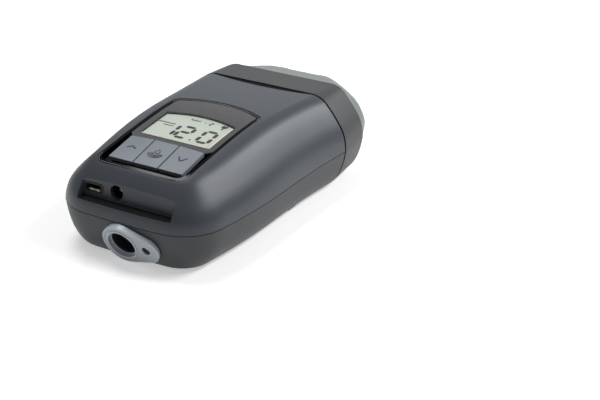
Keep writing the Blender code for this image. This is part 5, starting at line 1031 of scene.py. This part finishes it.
def lamp(name, place, size, power, lie=(1.0, 0.0, 0.0)):
    """A soft rectangular lamp that faces the machine, its length lying along a direction."""
    data = bpy.data.lights.new(name, "AREA")
    data.shape = "RECTANGLE"
    data.size, data.size_y = size
    data.energy = power
    obj = placed(name, data)
    out = (Vector(place) - LAMP_AIM).normalized()
    over = out.cross(Vector(lie)).normalized()
    turn = Matrix((over.cross(out), over, out)).transposed()
    obj.matrix_world = Matrix.Translation(place) @ turn.to_4x4()


class MACHINE_OT_stage(bpy.types.Operator):
    """Sets the pale floor, the soft lamps, the room's light and the camera"""
    bl_idname = "machine.stage"
    bl_label = "Stage and camera"

    def execute(self, context):
        stage = settings("stage")
        self.floor(stage)
        self.room(context, stage)
        lamp("key_lamp", (-0.35, 0.15, 0.95), (0.45, 0.45), stage.key_power)
        lamp("band_lamp", (0.52, 0.45, 0.62), (0.95, 0.16), stage.band_power,
             (-0.15, 0.70, -0.35))
        lamp("side_lamp", (0.95, -0.15, 0.35), (0.5, 0.4), stage.fill_power)
        lamp("rear_lamp", (-0.62, 1.20, 0.40), (1.1, 0.3), stage.back_power)
        self.camera(context, stage)
        context.scene.view_settings.view_transform = "Standard"
        return {"FINISHED"}

    def seen(self, tree):
        """1 for rays from the camera, by reflection and through glass, otherwise 0."""
        path = add(tree, "LightPath").outputs
        first = add(tree, "Math", {0: path["Is Camera Ray"], 1: path["Is Glossy Ray"]},
                    operation="MAXIMUM")
        return add(tree, "Math", {0: first.outputs[0], 1: path["Is Transmission Ray"]},
                   operation="MAXIMUM").outputs[0]

    def floor(self, stage):
        """Matt card: its white is lifted where it is seen, so that only the shadow shows."""
        bm = bmesh.new()
        bmesh.ops.create_circle(bm, cap_ends=True, radius=FLOOR_RADIUS, segments=96)
        mesh = bpy.data.meshes.new("floor")
        bm.to_mesh(mesh)
        bm.free()
        obj = placed("floor", mesh)
        made, tree = fresh("matt_card")[:2]
        card = add(tree, "BsdfDiffuse", {"Color": (*stage.floor, 1.0)})
        lift = add(tree, "Math", {0: self.seen(tree), 1: FLOOR_LIFT}, operation="MULTIPLY")
        glow = add(tree, "Emission", {"Color": (1, 1, 1, 1), "Strength": lift.outputs[0]})
        both = add(tree, "AddShader", {0: card.outputs[0], 1: glow.outputs[0]})
        paint(obj, ended(made, both.outputs[0], tree))

    def room(self, context, stage):
        world = bpy.data.worlds.new("room")
        world.use_nodes = True
        tree = world.node_tree
        tree.nodes.clear()
        back = add(tree, "Background", {"Color": (*stage.sky, 1.0), "Strength": stage.room_light})
        add(tree, "OutputWorld", {"Surface": back.outputs[0]})
        context.scene.world = world

    def camera(self, context, stage):
        """The photograph's viewpoint, found from the machine's own outline."""
        data = bpy.data.cameras.new("camera")
        data.lens = stage.lens
        data.sensor_width = 36.0
        data.dof.use_dof = False
        data.clip_start = 0.01
        obj = placed("camera", data)
        ahead = Vector((-0.42966528, 0.7951064, -0.42801116))
        down = Vector((0.22363396, -0.36553012, -0.90353505))
        right = Vector((0.87485747, 0.48393547, 0.02075719))
        place = Vector((0.29179, SEAM_Y - 0.50060, 0.25832))
        turn = Matrix((right, -down, -ahead)).transposed()
        obj.matrix_world = Matrix.Translation(place) @ turn.to_4x4()
        context.scene.camera = obj


OPERATORS = (MACHINE_OT_finishes, MACHINE_OT_rim_bead, MACHINE_OT_lcd_figures,
             MACHINE_OT_key_marks, MACHINE_OT_port_bay, MACHINE_OT_outlet_beads,
             MACHINE_OT_screw_faces, MACHINE_OT_filter_pad, MACHINE_OT_sound_foam,
             MACHINE_OT_stage)
GROUPS = {"casing": CasingSettings, "display": DisplaySettings, "keys": KeySettings,
          "sockets": SocketSettings, "stage": StageSettings}


class MACHINE_PT_panel(bpy.types.Panel):
    """Lists the steps that build the machine's looks"""
    bl_idname = "MACHINE_PT_panel"
    bl_label = "Breathing machine"
    bl_space_type = "VIEW_3D"
    bl_region_type = "UI"
    bl_category = "Machine"

    def draw(self, context):
        for step in OPERATORS:
            self.layout.operator(step.bl_idname)


CLASSES = (*GROUPS.values(), *OPERATORS, MACHINE_PT_panel)


def register():
    for one in CLASSES:
        bpy.utils.register_class(one)
    for name, group in GROUPS.items():
        setattr(bpy.types.Scene, "machine_" + name, bpy.props.PointerProperty(type=group))


def unregister():
    for name in GROUPS:
        delattr(bpy.types.Scene, "machine_" + name)
    for one in reversed(CLASSES):
        bpy.utils.unregister_class(one)


def main():
    register()
    for step in OPERATORS:
        group, name = step.bl_idname.split(".")
        getattr(getattr(bpy.ops, group), name)()


if __name__ == "__main__":
    main()
